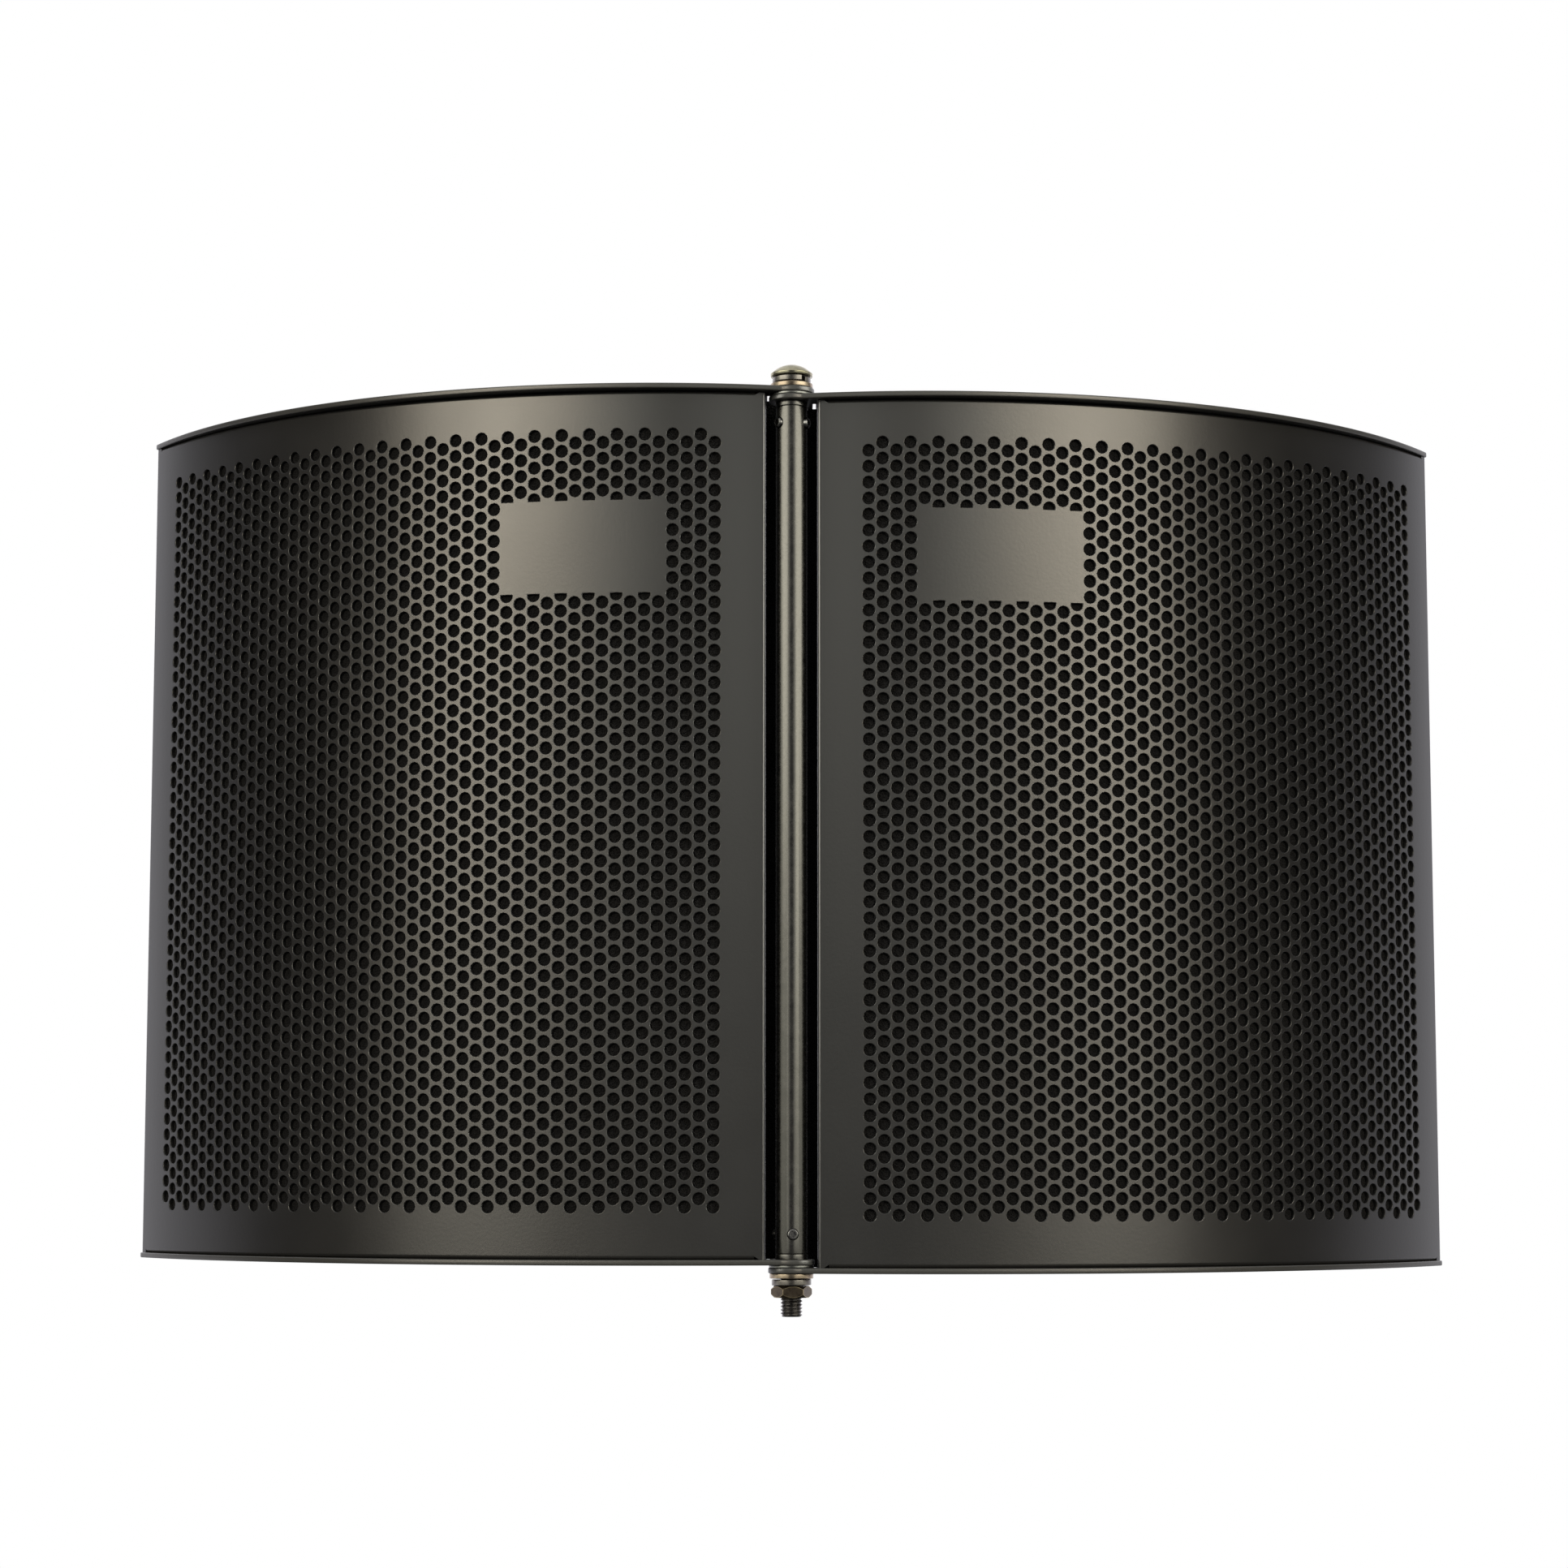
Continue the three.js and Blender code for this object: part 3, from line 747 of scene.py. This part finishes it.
def pyramid(across, up):
    """Height of profiled foam, 0 in the valleys and 1 on the peaks, with softened ridges."""
    a = 1 - np.abs(2 * (across % 1.0) - 1)
    b = 1 - np.abs(2 * (up % 1.0) - 1)
    mix = np.clip(0.5 + 0.5 * (b - a) / FOAM_SOFTNESS, 0, 1)
    low = b * (1 - mix) + a * mix - FOAM_SOFTNESS * mix * (1 - mix)
    return np.clip(low, 0, FOAM_PEAK_CUT) / FOAM_PEAK_CUT


def tongue_rise(points):
    """Beside the post and at the outer corners, where the tray has no lips, the foam fills the
    whole height between the plates."""
    angle = np.arctan2(points[:, 0] - ARC_CENTRE[0], ARC_CENTRE[1] - points[:, 1])
    along = ARC_RADIUS * (angle - ARC_START)
    share = np.clip((TAB_WIDTH - along) / 1.2, 0, 1) + np.clip(along - ARC_LENGTH + TAB_WIDTH, 0, 1)
    upper = np.clip(1 - (FOAM_HIGH - points[:, 2]) / FOAM_TONGUE_DEPTH, 0, 1)
    lower = np.clip(1 - (points[:, 2] - FOAM_LOW) / FOAM_TONGUE_DEPTH, 0, 1)
    return FOAM_TONGUE * share * (upper - lower)


def foam_piece(node, side, base_z, body, material):
    """The lining: a smooth front against the shell and rows of pyramids towards the microphone."""
    front_radius = ARC_RADIUS - SHEET - FOAM_GAP
    end = ARC_END - (SHEET + FOAM_GAP) / front_radius
    side_x = INNER_EDGE[0] + SHEET + FOAM_GAP
    to_post = (math.cos(FOAM_END_ANGLE), math.sin(FOAM_END_ANGLE))
    step_corner = (FOAM_STEP_Y / math.tan(FOAM_END_ANGLE), FOAM_STEP_Y)
    start = angle_at_x(front_radius, side_x)
    arc = [arc_point(front_radius, start + (end - start) * t) for t in np.linspace(0, 1, 60)]
    front = spread([step_corner, (side_x, FOAM_STEP_Y), *arc], FOAM_POINTS)
    count = len(front)
    share = np.linspace(0, 1, count)
    valley_radius = front_radius - FOAM_VALLEY
    peak = FOAM_THICKNESS - FOAM_VALLEY - FOAM_PEAK_TRIM
    points = []
    for level in np.linspace(FOAM_LOW, FOAM_HIGH, FOAM_LEVELS + 1):
        up = (level - FOAM_LOW) / (FOAM_HIGH - FOAM_LOW) * FOAM_CELLS_UP
        rear = []
        for t, rise in zip(share, peak * pyramid(share * FOAM_CELLS_ACROSS, up)):
            radius = valley_radius - rise
            reach = distance_to_arc(to_post, radius)
            first = angle_at_x(radius, reach * to_post[0])
            rear.append(arc_point(radius, first + (end - first) * t))
        points += [(x, y, level) for x, y in [*front, *reversed(rear)]]
    per_ring = 2 * count
    faces = strips(per_ring, FOAM_LEVELS + 1)
    for level in (0, FOAM_LEVELS):
        here = level * per_ring
        for index in range(count - 1):
            back = per_ring - 1 - index
            quad = (here + index, here + back, here + back - 1, here + index + 1)
            faces.append(quad if level == 0 else quad[::-1])
    points = np.array(points, float)
    lumps = np.array([
        sum(noise.noise(Vector(point) * scale) * height for scale, height in FOAM_LUMPS)
        for point in points
    ])
    inward = np.stack((ARC_CENTRE[0] - points[:, 0], ARC_CENTRE[1] - points[:, 1]), 1)
    inward /= np.linalg.norm(inward, axis=1)[:, None]
    rear_side = np.arange(len(points)) % per_ring >= count
    points[:, :2] += inward * np.where(rear_side, lumps, 0.0)[:, None]
    points[:, 2] += tongue_rise(points)
    points[:, 2] += base_z
    points[:, 0] *= side
    if side < 0:
        faces = [face[::-1] for face in faces]
    piece = shape(f"{node}_lining", points, faces)
    dress(piece, body, material, node)
    smooth_by_angle(piece, 60)


# ---- materials
class Nodes:
    """Writes the nodes of a material or a world as a chain of calls."""

    def __init__(self, owner):
        owner.use_nodes = True
        self.owner = owner
        self.tree = owner.node_tree
        self.tree.nodes.clear()

    @cached_property
    def places(self):
        return self.add("ShaderNodeTexCoord").outputs

    def add(self, kind, inputs=(), **settings):
        node = self.tree.nodes.new(kind)
        for key, value in settings.items():
            setattr(node, key, value)
        for key, value in dict(inputs).items():
            if isinstance(value, bpy.types.NodeSocket):
                self.tree.links.new(value, node.inputs[key])
            else:
                node.inputs[key].default_value = value
        return node

    def noise(self, scale, detail=3.0, roughness=0.5, stretch=None):
        place = self.places["Object"]
        if stretch:
            mapping = self.add("ShaderNodeMapping", {"Vector": place, "Scale": stretch})
            place = mapping.outputs["Vector"]
        inputs = {"Vector": place, "Scale": scale, "Detail": detail, "Roughness": roughness}
        return self.add("ShaderNodeTexNoise", inputs).outputs["Fac"]

    def cells(self, scale):
        inputs = {"Vector": self.places["Object"], "Scale": scale}
        return self.add("ShaderNodeTexVoronoi", inputs).outputs["Distance"]

    def span(self, value, low, high, to_low=0.0, to_high=1.0):
        inputs = {"Value": value, "From Min": low, "From Max": high, "To Min": to_low, "To Max": to_high}
        return self.add("ShaderNodeMapRange", inputs).outputs["Result"]

    def math(self, operation, *values):
        return self.add("ShaderNodeMath", dict(enumerate(values)), operation=operation).outputs[0]

    def colours(self, factor, *stops):
        ramp = self.add("ShaderNodeValToRGB", {"Fac": factor})
        elements = ramp.color_ramp.elements
        while len(elements) < len(stops):
            elements.new(0.5)
        for element, (position, colour) in zip(elements, stops):
            element.position = position
            element.color = (*colour, 1)
        return ramp.outputs["Color"]

    def bump(self, height, strength, distance, **normal):
        inputs = {"Height": height, "Strength": strength, "Distance": distance, **normal}
        return self.add("ShaderNodeBump", inputs).outputs["Normal"]

    def soft_edges(self, radius_mm):
        return self.add("ShaderNodeBevel", {"Radius": radius_mm * MM}, samples=4).outputs["Normal"]

    def edge_highlight_mask(self, radius_mm):
        """About 1 on outward edges, 0 on flat and smoothly curved places."""
        flat = self.add("ShaderNodeNewGeometry").outputs["Normal"]
        inputs = {0: self.soft_edges(radius_mm), 1: flat}
        alike = self.add("ShaderNodeVectorMath", inputs, operation="DOT_PRODUCT").outputs["Value"]
        return self.span(alike, 0.995, 0.93)

    def mixed(self, factor, first, second):
        """A mix of two colours, by the factor and colour sockets of a Mix node."""
        return self.add("ShaderNodeMix", {0: factor, 6: first, 7: second}, data_type="RGBA").outputs[2]

    def surface(self, **inputs):
        """Ends a material with a Principled shader."""
        values = {key.replace("_", " "): value for key, value in inputs.items()}
        shader = self.add("ShaderNodeBsdfPrincipled", values)
        self.add("ShaderNodeOutputMaterial", {"Surface": shader.outputs[0]})
        return self.owner


def powder_coat(name, shade, roughness):
    """Semi-gloss black powder coat: orange-peel relief, faint mottling, slightly uneven gloss."""
    nodes = Nodes(bpy.data.materials.new(name))
    mottle = nodes.noise(38, 4)
    peel = nodes.noise(900, 2)
    fine = nodes.noise(2600, 1)
    dark, light = (tuple(part * level for part in shade) for level in (0.86, 1.12))
    colour = nodes.colours(mottle, (0.25, dark), (0.75, light))
    grain = nodes.math("ADD", mottle, fine)
    rough = nodes.span(grain, 0.6, 1.4, roughness - 0.02, roughness + 0.02)
    relief = nodes.bump(peel, 0.16, 0.00012)
    return nodes.surface(Base_Color=colour, Roughness=rough, Normal=relief, Specular_IOR_Level=0.5)


def foam_material():
    """Open-cell foam: dark pores between lighter cell walls, all far darker than the foam's own colour as
    painted shade, since it lies in shade behind the holes.
    """
    nodes = Nodes(bpy.data.materials.new("acoustic_foam"))
    pores = nodes.cells(1500)
    lumps = nodes.noise(420, 4, 0.7)
    shade = nodes.math("MULTIPLY", pores, lumps)
    # painted shade: both colours are much darker than the foam's own, to stand for the shade it lies in
    # behind the perforated shell
    colour = nodes.colours(shade, (0.05, (0.0022, 0.0022, 0.0024)), (0.6, (0.0080, 0.0078, 0.0082)))
    relief = nodes.bump(nodes.math("ADD", pores, lumps), 0.9, 0.0009)
    return nodes.surface(Base_Color=colour, Roughness=0.95, Normal=relief, Specular_IOR_Level=0.2)


def plated_metal(name, dark, light, roughness, marks=True, edge_highlight=None):
    """Plated steel with blotchy plating colour. With marks, it has turning marks and softened edges.
    A colour given for the edges is painted on outward edges as a highlight."""
    nodes = Nodes(bpy.data.materials.new(name))
    blotch = nodes.noise(260, 3, 0.6)
    lines = nodes.noise(900, 3, 0.6, stretch=(1, 1, 40 if marks else 1))
    colour = nodes.colours(blotch, (0.3, dark), (0.7, light))
    rough = nodes.span(nodes.math("ADD", blotch, lines), 0.6, 1.4, roughness - 0.06, roughness + 0.08)
    if marks:
        relief = nodes.bump(lines, 0.12, 0.00006, Normal=nodes.soft_edges(0.12))
    else:
        relief = nodes.bump(blotch, 0.02, 0.00006)
    # painted highlight: outward edges take the given colour, to stand for light caught on the chamfers
    if edge_highlight:
        colour = nodes.mixed(nodes.edge_highlight_mask(0.45), colour, (*edge_highlight, 1))
    return nodes.surface(Base_Color=colour, Metallic=1.0, Roughness=rough, Normal=relief)


# ---- post and fasteners
def fastener(piece, material, node, degrees=30):
    """Cleans a turned or cut piece and puts it on the post."""
    weld(piece)
    smooth_by_angle(piece, degrees)
    dress(piece, "post", material, node)


def radial_cylinders(radius, near, far, spots, segments=40):
    """One object holding cylinders along radii of the post, at (angle, z) spots."""
    points = []
    faces = []
    for angle, z in spots:
        first = len(points)
        along, aside = math.cos(angle), math.sin(angle)
        for reach in (near, far):
            for across, up in ring_points((0, 0), radius, segments):
                points.append((along * reach - aside * across, aside * reach + along * across, z + up))
        rings = strips(segments, 2) + end_caps(segments, 2)
        faces += [tuple(first + corner for corner in face) for face in rings]
    return solid("radial_tool", points, faces)


def grub_spots(ring):
    z, first = GRUBS[ring]
    return [(first + index * TAU / GRUB_COUNT, z) for index in range(GRUB_COUNT)]


def tube_piece(material):
    low, high, outer = round_span("hinge_tube")
    section = [(TUBE_BORE, low), (outer, low, 0.5), (outer, high, 0.5), (TUBE_BORE, high)]
    piece = turned("hinge_tube_body", rounded(section, 0.15), 128)
    spots = grub_spots("upper") + grub_spots("lower")
    drills = radial_cylinders(GRUB_RADIUS + 0.18, TUBE_BORE - 1, outer + 1, spots)
    boolean(piece, drills)
    fastener(piece, material, "hinge_tube")


def bushing_piece(ring, material):
    """A sleeve in the tube's end, with a flange outside it."""
    node = f"{ring}_bushing"
    low, high, outer = round_span(node)
    bottom, top = (outer, BUSHING_SPIGOT) if ring == "lower" else (BUSHING_SPIGOT, outer)
    step = low + BUSHING_FLANGE if ring == "lower" else high - BUSHING_FLANGE
    section = [(BUSHING_BORE, low), (bottom, low), (bottom, step), (top, step), (top, high),
               (BUSHING_BORE, high)]
    piece = turned(node + "_sleeve", rounded(section, 0.22))
    near, far = BUSHING_BORE - 1.1, BUSHING_SPIGOT + 1.8
    drills = radial_cylinders(GRUB_RADIUS + 0.15, near, far, grub_spots(ring))
    boolean(piece, drills)
    fastener(piece, material, node)


def grub_pieces(ring, material):
    """Chamfered screws with hexagon sockets, made upright and turned to point away from the axis."""
    for index, (angle, z) in enumerate(grub_spots(ring)):
        face = GRUB_RADIUS - GRUB_CHAMFER
        profile = chamfered(GRUB_NEAR, GRUB_FAR, face, GRUB_RADIUS, GRUB_CHAMFER)
        node = f"{ring}_grub_screw_{index + 1}"
        piece = turned(node + "_body", rounded(profile, 0.08, closed=False), 48, closed=False)
        floor_level = GRUB_FAR - GRUB_SOCKET_DEPTH
        socket = hexagon_block("socket", GRUB_SOCKET, floor_level, GRUB_FAR + 1)
        boolean(piece, socket)
        outward = Vector((math.cos(angle), math.sin(angle), 0))
        matrix = Vector((0, 0, 1)).rotation_difference(outward).to_matrix().to_4x4()
        matrix.translation = (0, 0, z * MM)
        piece.data.transform(matrix)
        fastener(piece, material, node)


def washer_piece(node, edge, material):
    low, high, outer = round_span(node)
    section = [(WASHER_BORE, low), (outer, low), (outer, high), (WASHER_BORE, high)]
    fastener(turned(node + "_ring", rounded(section, edge, 4)), material, node)


def spring_washer_piece(ring, material):
    """A split, slightly helical ring of rounded rectangular section."""
    node = f"{ring}_spring_washer"
    low, high = span_mm(node, 2)
    thickness = high - low - SPRING_RISE
    corners = [(SPRING_BORE, 0), (SPRING_RADIUS, 0), (SPRING_RADIUS, thickness), (SPRING_BORE, thickness)]
    section = rounded(corners, 0.35, 4)
    segments = 96
    points = []
    for step in range(segments + 1):
        share = step / segments
        angle = SPRING_TURNS[ring] + SPRING_OPENING / 2 + (TAU - SPRING_OPENING) * share
        for radius, z in section:
            level = low + z + SPRING_RISE * share
            points.append((radius * math.cos(angle), radius * math.sin(angle), level))
    faces = end_caps(len(section), segments + 1) + strips(len(section), segments + 1)
    fastener(solid(node + "_coil", points, faces), material, node)


def nut_piece(material):
    """A thin hexagon nut, chamfered outside and at both ends of its bore."""
    low, high, corner = round_span("jam_nut")
    face = corner * math.cos(math.pi / 6) - 0.1
    piece = hexagon_block("jam_nut_body", corner, low, high, NUT_TURN)
    envelope = chamfered(low, high, face, corner + 0.2, NUT_CHAMFER)
    boolean(piece, turned("envelope", envelope, closed=False), "INTERSECT")
    hole = chamfered(low - 1, high + 1, NUT_BORE + 1.4, NUT_BORE, 1.4)
    boolean(piece, turned("hole", hole, closed=False))
    fastener(piece, material, "jam_nut", 25)


def bolt_piece(material):
    """The long bolt's plain shank and domed head with a hexagon socket."""
    head_low = span_mm("upper_spring_washer", 2)[1] + HEAD_GAP
    top = span_mm("hinge_bolt", 2)[1]
    rise = top - head_low - HEAD_RIM
    dome = (HEAD_RADIUS**2 + rise**2) / (2 * rise)
    sweep = math.asin(HEAD_RADIUS / dome)
    section = [(0, THREAD_TOP), (THREAD_ROOT, THREAD_TOP), (SHANK_RADIUS, THREAD_TOP + 1.5),
               (SHANK_RADIUS, head_low), (HEAD_RADIUS - 0.2, head_low, 0.4),
               (HEAD_RADIUS, head_low + HEAD_RIM, 0.5)]
    steps = 24
    for step in range(1, steps + 1):
        angle = sweep * (1 - step / steps)
        section.append((dome * math.sin(angle), top - dome * (1 - math.cos(angle))))
    piece = turned("hinge_bolt_head", rounded(section, 0.0, closed=False), 128, closed=False)
    socket = hexagon_block("socket", HEAD_SOCKET, top - HEAD_SOCKET_DEPTH, top + 1)
    boolean(piece, socket)
    fastener(piece, material, "hinge_bolt")


def thread_radius(phase):
    """Radius across one pitch: a narrow crest, straight flanks and a flat root."""
    slope = 1 - abs(2 * phase - 1)
    depth = THREAD_CREST - THREAD_ROOT
    return THREAD_CREST - depth * min(1.0, max(0.0, (THREAD_CREST_EDGE - slope) / THREAD_FLANK))


def stud_piece(material):
    """The bolt's threaded end as a helical surface, cut flat at both ends."""
    segments, samples = 72, 12
    rows = int(THREAD_TOP / THREAD_PITCH * samples) + 3 * samples
    points = []
    for row in range(rows):
        for step in range(segments):
            z = (row - 2 * samples) * THREAD_PITCH / samples + THREAD_PITCH * step / segments
            level = min(max(z, 0.0), THREAD_TOP)
            radius = min(thread_radius(row % samples / samples), THREAD_CREST - THREAD_CHAMFER + level)
            angle = TAU * step / segments
            points.append((radius * math.cos(angle), radius * math.sin(angle), level))
    faces = []
    for row in range(rows - 1 - samples):
        for step in range(segments):
            here = row * segments + step
            after = here + 1 if step + 1 < segments else (row + samples) * segments
            face = (here, after, after + segments, here + segments)
            levels = [points[corner][2] for corner in face]
            if max(levels) > 0 and min(levels) < THREAD_TOP:
                faces.append(face)
    stud = shape("hinge_stud", points, faces)
    weld(stud, repair=True)
    smooth_by_angle(stud, 38)
    dress(stud, "post", material)


# ---- assembly
def build_object():
    paint = powder_coat("panel_paint", (0.0116, 0.0115, 0.0113), 0.31)
    # painted light: the plates share the panels' black paint; this copy is lighter to stand for the light
    # on their edges
    plate_paint = powder_coat("plate_paint", (0.030, 0.030, 0.028), 0.36)
    foam = foam_material()
    head_zinc = plated_metal("head_zinc", (0.19, 0.175, 0.115), (0.34, 0.315, 0.225), 0.17)
    washer_zinc = plated_metal("washer_zinc", (0.20, 0.158, 0.112), (0.32, 0.258, 0.185), 0.24)
    # the nut's light yellow edges are a painted highlight on its chamfers
    nut_zinc = plated_metal(
        "nut_zinc", (0.055, 0.042, 0.031), (0.115, 0.092, 0.064), 0.30, edge_highlight=(0.42, 0.34, 0.2)
    )
    spring = plated_metal("spring_steel", (0.10, 0.092, 0.082), (0.17, 0.156, 0.138), 0.26)
    stud_steel = plated_metal("stud_steel", (0.09, 0.085, 0.08), (0.15, 0.14, 0.13), 0.28)
    grub_steel = plated_metal("screw_steel", (0.13, 0.127, 0.12), (0.20, 0.195, 0.185), 0.22)
    burnished = plated_metal("friction_disc", (0.12, 0.12, 0.11), (0.20, 0.20, 0.185), 0.28)
    post = plated_metal(
        "post_finish", (0.090, 0.087, 0.079), (0.105, 0.101, 0.092), 0.25, marks=False
    )
    sheet = shell_sheet()
    for side_name, (side, base_z) in PANELS.items():
        body = f"{side_name}_panel"
        shell_piece(sheet, f"{side_name}_shell", side, base_z, body, paint)
        plate_piece(f"{side_name}_bottom_plate", side, base_z, body, plate_paint)
        plate_piece(f"{side_name}_top_plate", side, base_z + TOP_PLATE_OFFSET, body, plate_paint)
        foam_piece(f"{side_name}_foam", side, base_z, body, foam)
    tube_piece(post)
    bolt_piece(head_zinc)
    stud_piece(stud_steel)
    nut_piece(nut_zinc)
    for ring in ("upper", "lower"):
        bushing_piece(ring, post)
        grub_pieces(ring, grub_steel)
        washer_piece(f"{ring}_flat_washer", 0.3, washer_zinc)
        washer_piece(f"{ring}_friction_washer", 0.2, burnished)
        spring_washer_piece(ring, spring)


# ---- stage
# Brightness of the studio, as (angle away from the camera's axis, level) steps low down and high up.
LOW_SKY = ((0, 0.15), (60, 0), (84, 0.05), (96, 1.1), (110, 1.12), (130, 1.07))
HIGH_SKY = ((0, 0.15), (60, 0.15), (72, 0), (96, 0), (110, 0.35), (130, 1.7))
SKY_PEAK = 2.0
SKY_TINT = (1.0, 0.985, 1.05)
SKY_TURN = (-8.0, 12.0)
OVERHEAD = 1.2
OVERHEAD_TURN = (30.0, 45.0)
GROUND = 0.1
GROUND_TURN = (-40.0, -20.0)
FLOOR_LEVEL = -400.0
FLOOR_HALF = 30000.0
BOX_DISTANCE = 6000.0 * MM
OBJECT_MIDDLE = Vector((0, 0, 180.0)) * MM
LENS = 80.86
CAMERA_PLACE = Vector((-1.67, -1293.9, 54.9)) * MM
CAMERA_TURN = [math.radians(angle) for angle in (96.171, -0.022, 0.047)]


def world():
    """White to the camera. Reflections see a studio whose brightness, symmetrical left and right,
    follows the angle away from the camera's axis, one way low down and another way high up."""
    nodes = Nodes(bpy.data.worlds.new("studio"))
    parts = nodes.add("ShaderNodeSeparateXYZ", {0: nodes.places["Generated"]}).outputs
    sideways = nodes.math("ABSOLUTE", parts["X"])
    forward = nodes.math("MULTIPLY", parts["Y"], -1.0)
    share = nodes.math("DIVIDE", nodes.math("ARCTAN2", sideways, forward), math.pi)

    def sky(steps):
        return nodes.colours(share, *(
            (degrees / 180, [level / SKY_PEAK * part for part in SKY_TINT]) for degrees, level in steps
        ))

    def rise(angles):
        start, end = (math.sin(math.radians(angle)) for angle in angles)
        return nodes.span(parts["Z"], start, end)

    around = nodes.mixed(rise(SKY_TURN), sky(LOW_SKY), sky(HIGH_SKY))
    ground, overhead = ((level / SKY_PEAK,) * 3 + (1,) for level in (GROUND, OVERHEAD))
    above_ground = nodes.mixed(rise(GROUND_TURN), ground, around)
    whole = nodes.mixed(rise(OVERHEAD_TURN), above_ground, overhead)
    lit = nodes.add("ShaderNodeBackground", {"Color": whole, "Strength": SKY_PEAK})
    white = nodes.add("ShaderNodeBackground", {"Color": (1, 1, 1, 1), "Strength": 1.0})
    show_to_camera(nodes, lit, white, "ShaderNodeOutputWorld")
    bpy.context.scene.world = nodes.owner


def show_to_camera(nodes, usual, seen, output):
    """Ends a node tree with one shader for the camera and another for everything else."""
    is_camera = nodes.add("ShaderNodeLightPath").outputs["Is Camera Ray"]
    mix = nodes.add("ShaderNodeMixShader", {0: is_camera, 1: usual.outputs[0], 2: seen.outputs[0]})
    nodes.add(output, {"Surface": mix.outputs[0]})


def floor():
    """A large pale floor, plain white to the camera and left out of reflections."""
    signs = ((-1, -1), (1, -1), (1, 1), (-1, 1))
    corners = [(x * FLOOR_HALF, y * FLOOR_HALF, FLOOR_LEVEL) for x, y in signs]
    plane = shape("floor", corners, [(0, 1, 2, 3)])
    nodes = Nodes(bpy.data.materials.new("pale_floor"))
    white = nodes.add("ShaderNodeEmission", {"Strength": 1.0})
    show_to_camera(nodes, nodes.add("ShaderNodeBsdfTransparent"), white, "ShaderNodeOutputMaterial")
    plane.data.materials.append(nodes.owner)
    plane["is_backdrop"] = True


def soft_box(name, azimuth, elevation, half_width, half_height, radiance, colour, lit):
    """A rectangular light that lights only the given pieces. Its place and size are angles in
    degrees seen from the middle of the object: azimuth from the camera's axis, then elevation."""
    light = bpy.data.lights.new(name, "AREA")
    light.shape = "RECTANGLE"
    light.size = 2 * BOX_DISTANCE * math.tan(math.radians(half_width))
    light.size_y = 2 * BOX_DISTANCE * math.tan(math.radians(half_height))
    light.energy = radiance * math.pi * light.size * light.size_y
    light.color = colour
    lamp = linked(name, light)
    turn, lift = math.radians(azimuth), math.radians(elevation)
    away = Vector((math.sin(turn) * math.cos(lift), -math.cos(turn) * math.cos(lift), math.sin(lift)))
    lamp.location = OBJECT_MIDDLE + away * BOX_DISTANCE
    lamp.rotation_euler = away.to_track_quat("Z", "Y").to_euler()
    lamp.visible_camera = False
    lamp.light_linking.receiver_collection = lit


def pieces_on(*bodies):
    """A collection of the visible pieces that ride on the given bodies."""
    group = bpy.data.collections.new("lit_" + "_".join(bodies))
    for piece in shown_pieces():
        if set(body_of(piece) or ()) & set(bodies):
            group.objects.link(piece)
    return group


def lights():
    warm, pale, plain = (1.11, 1.0, 0.80), (1.03, 1.0, 0.88), (1.0, 1.0, 0.90)
    post = pieces_on("post")
    both = pieces_on("right_panel", "left_panel")
    for side, name in ((1, "right"), (-1, "left")):
        panel = pieces_on(f"{name}_panel")
        soft_box(f"{name}_near_box", side * 28, 18, 9, 8, 11.1, warm, panel)
        soft_box(f"{name}_far_box", side * 42, 13, 9, 7, 10.3, warm, panel)
        soft_box(f"{name}_low_box", side * 38, 0, 14, 6, 2.1, pale, panel)
        soft_box(f"{name}_front_box", side * 12, 12, 6, 7, 3.2, plain, both)
        soft_box(f"{name}_fold_box", side * -72, 16, 22, 14, 12.0, pale, panel)
        soft_box(f"{name}_post_box", side * 53, 19, 23, 14, 3.1, pale, post)
        soft_box(f"{name}_post_wide_box", side * 57, 8, 41, 24, 1.1, plain, post)


def camera():
    lens = bpy.data.cameras.new("camera")
    lens.sensor_width = 36.0
    lens.lens = LENS
    lens.clip_end = 100
    view = linked("camera", lens)
    view.location = CAMERA_PLACE
    view.rotation_euler = CAMERA_TURN
    bpy.context.scene.camera = view


build_object()
world()
floor()
lights()
camera()
bpy.context.scene.view_settings.view_transform = "Standard"
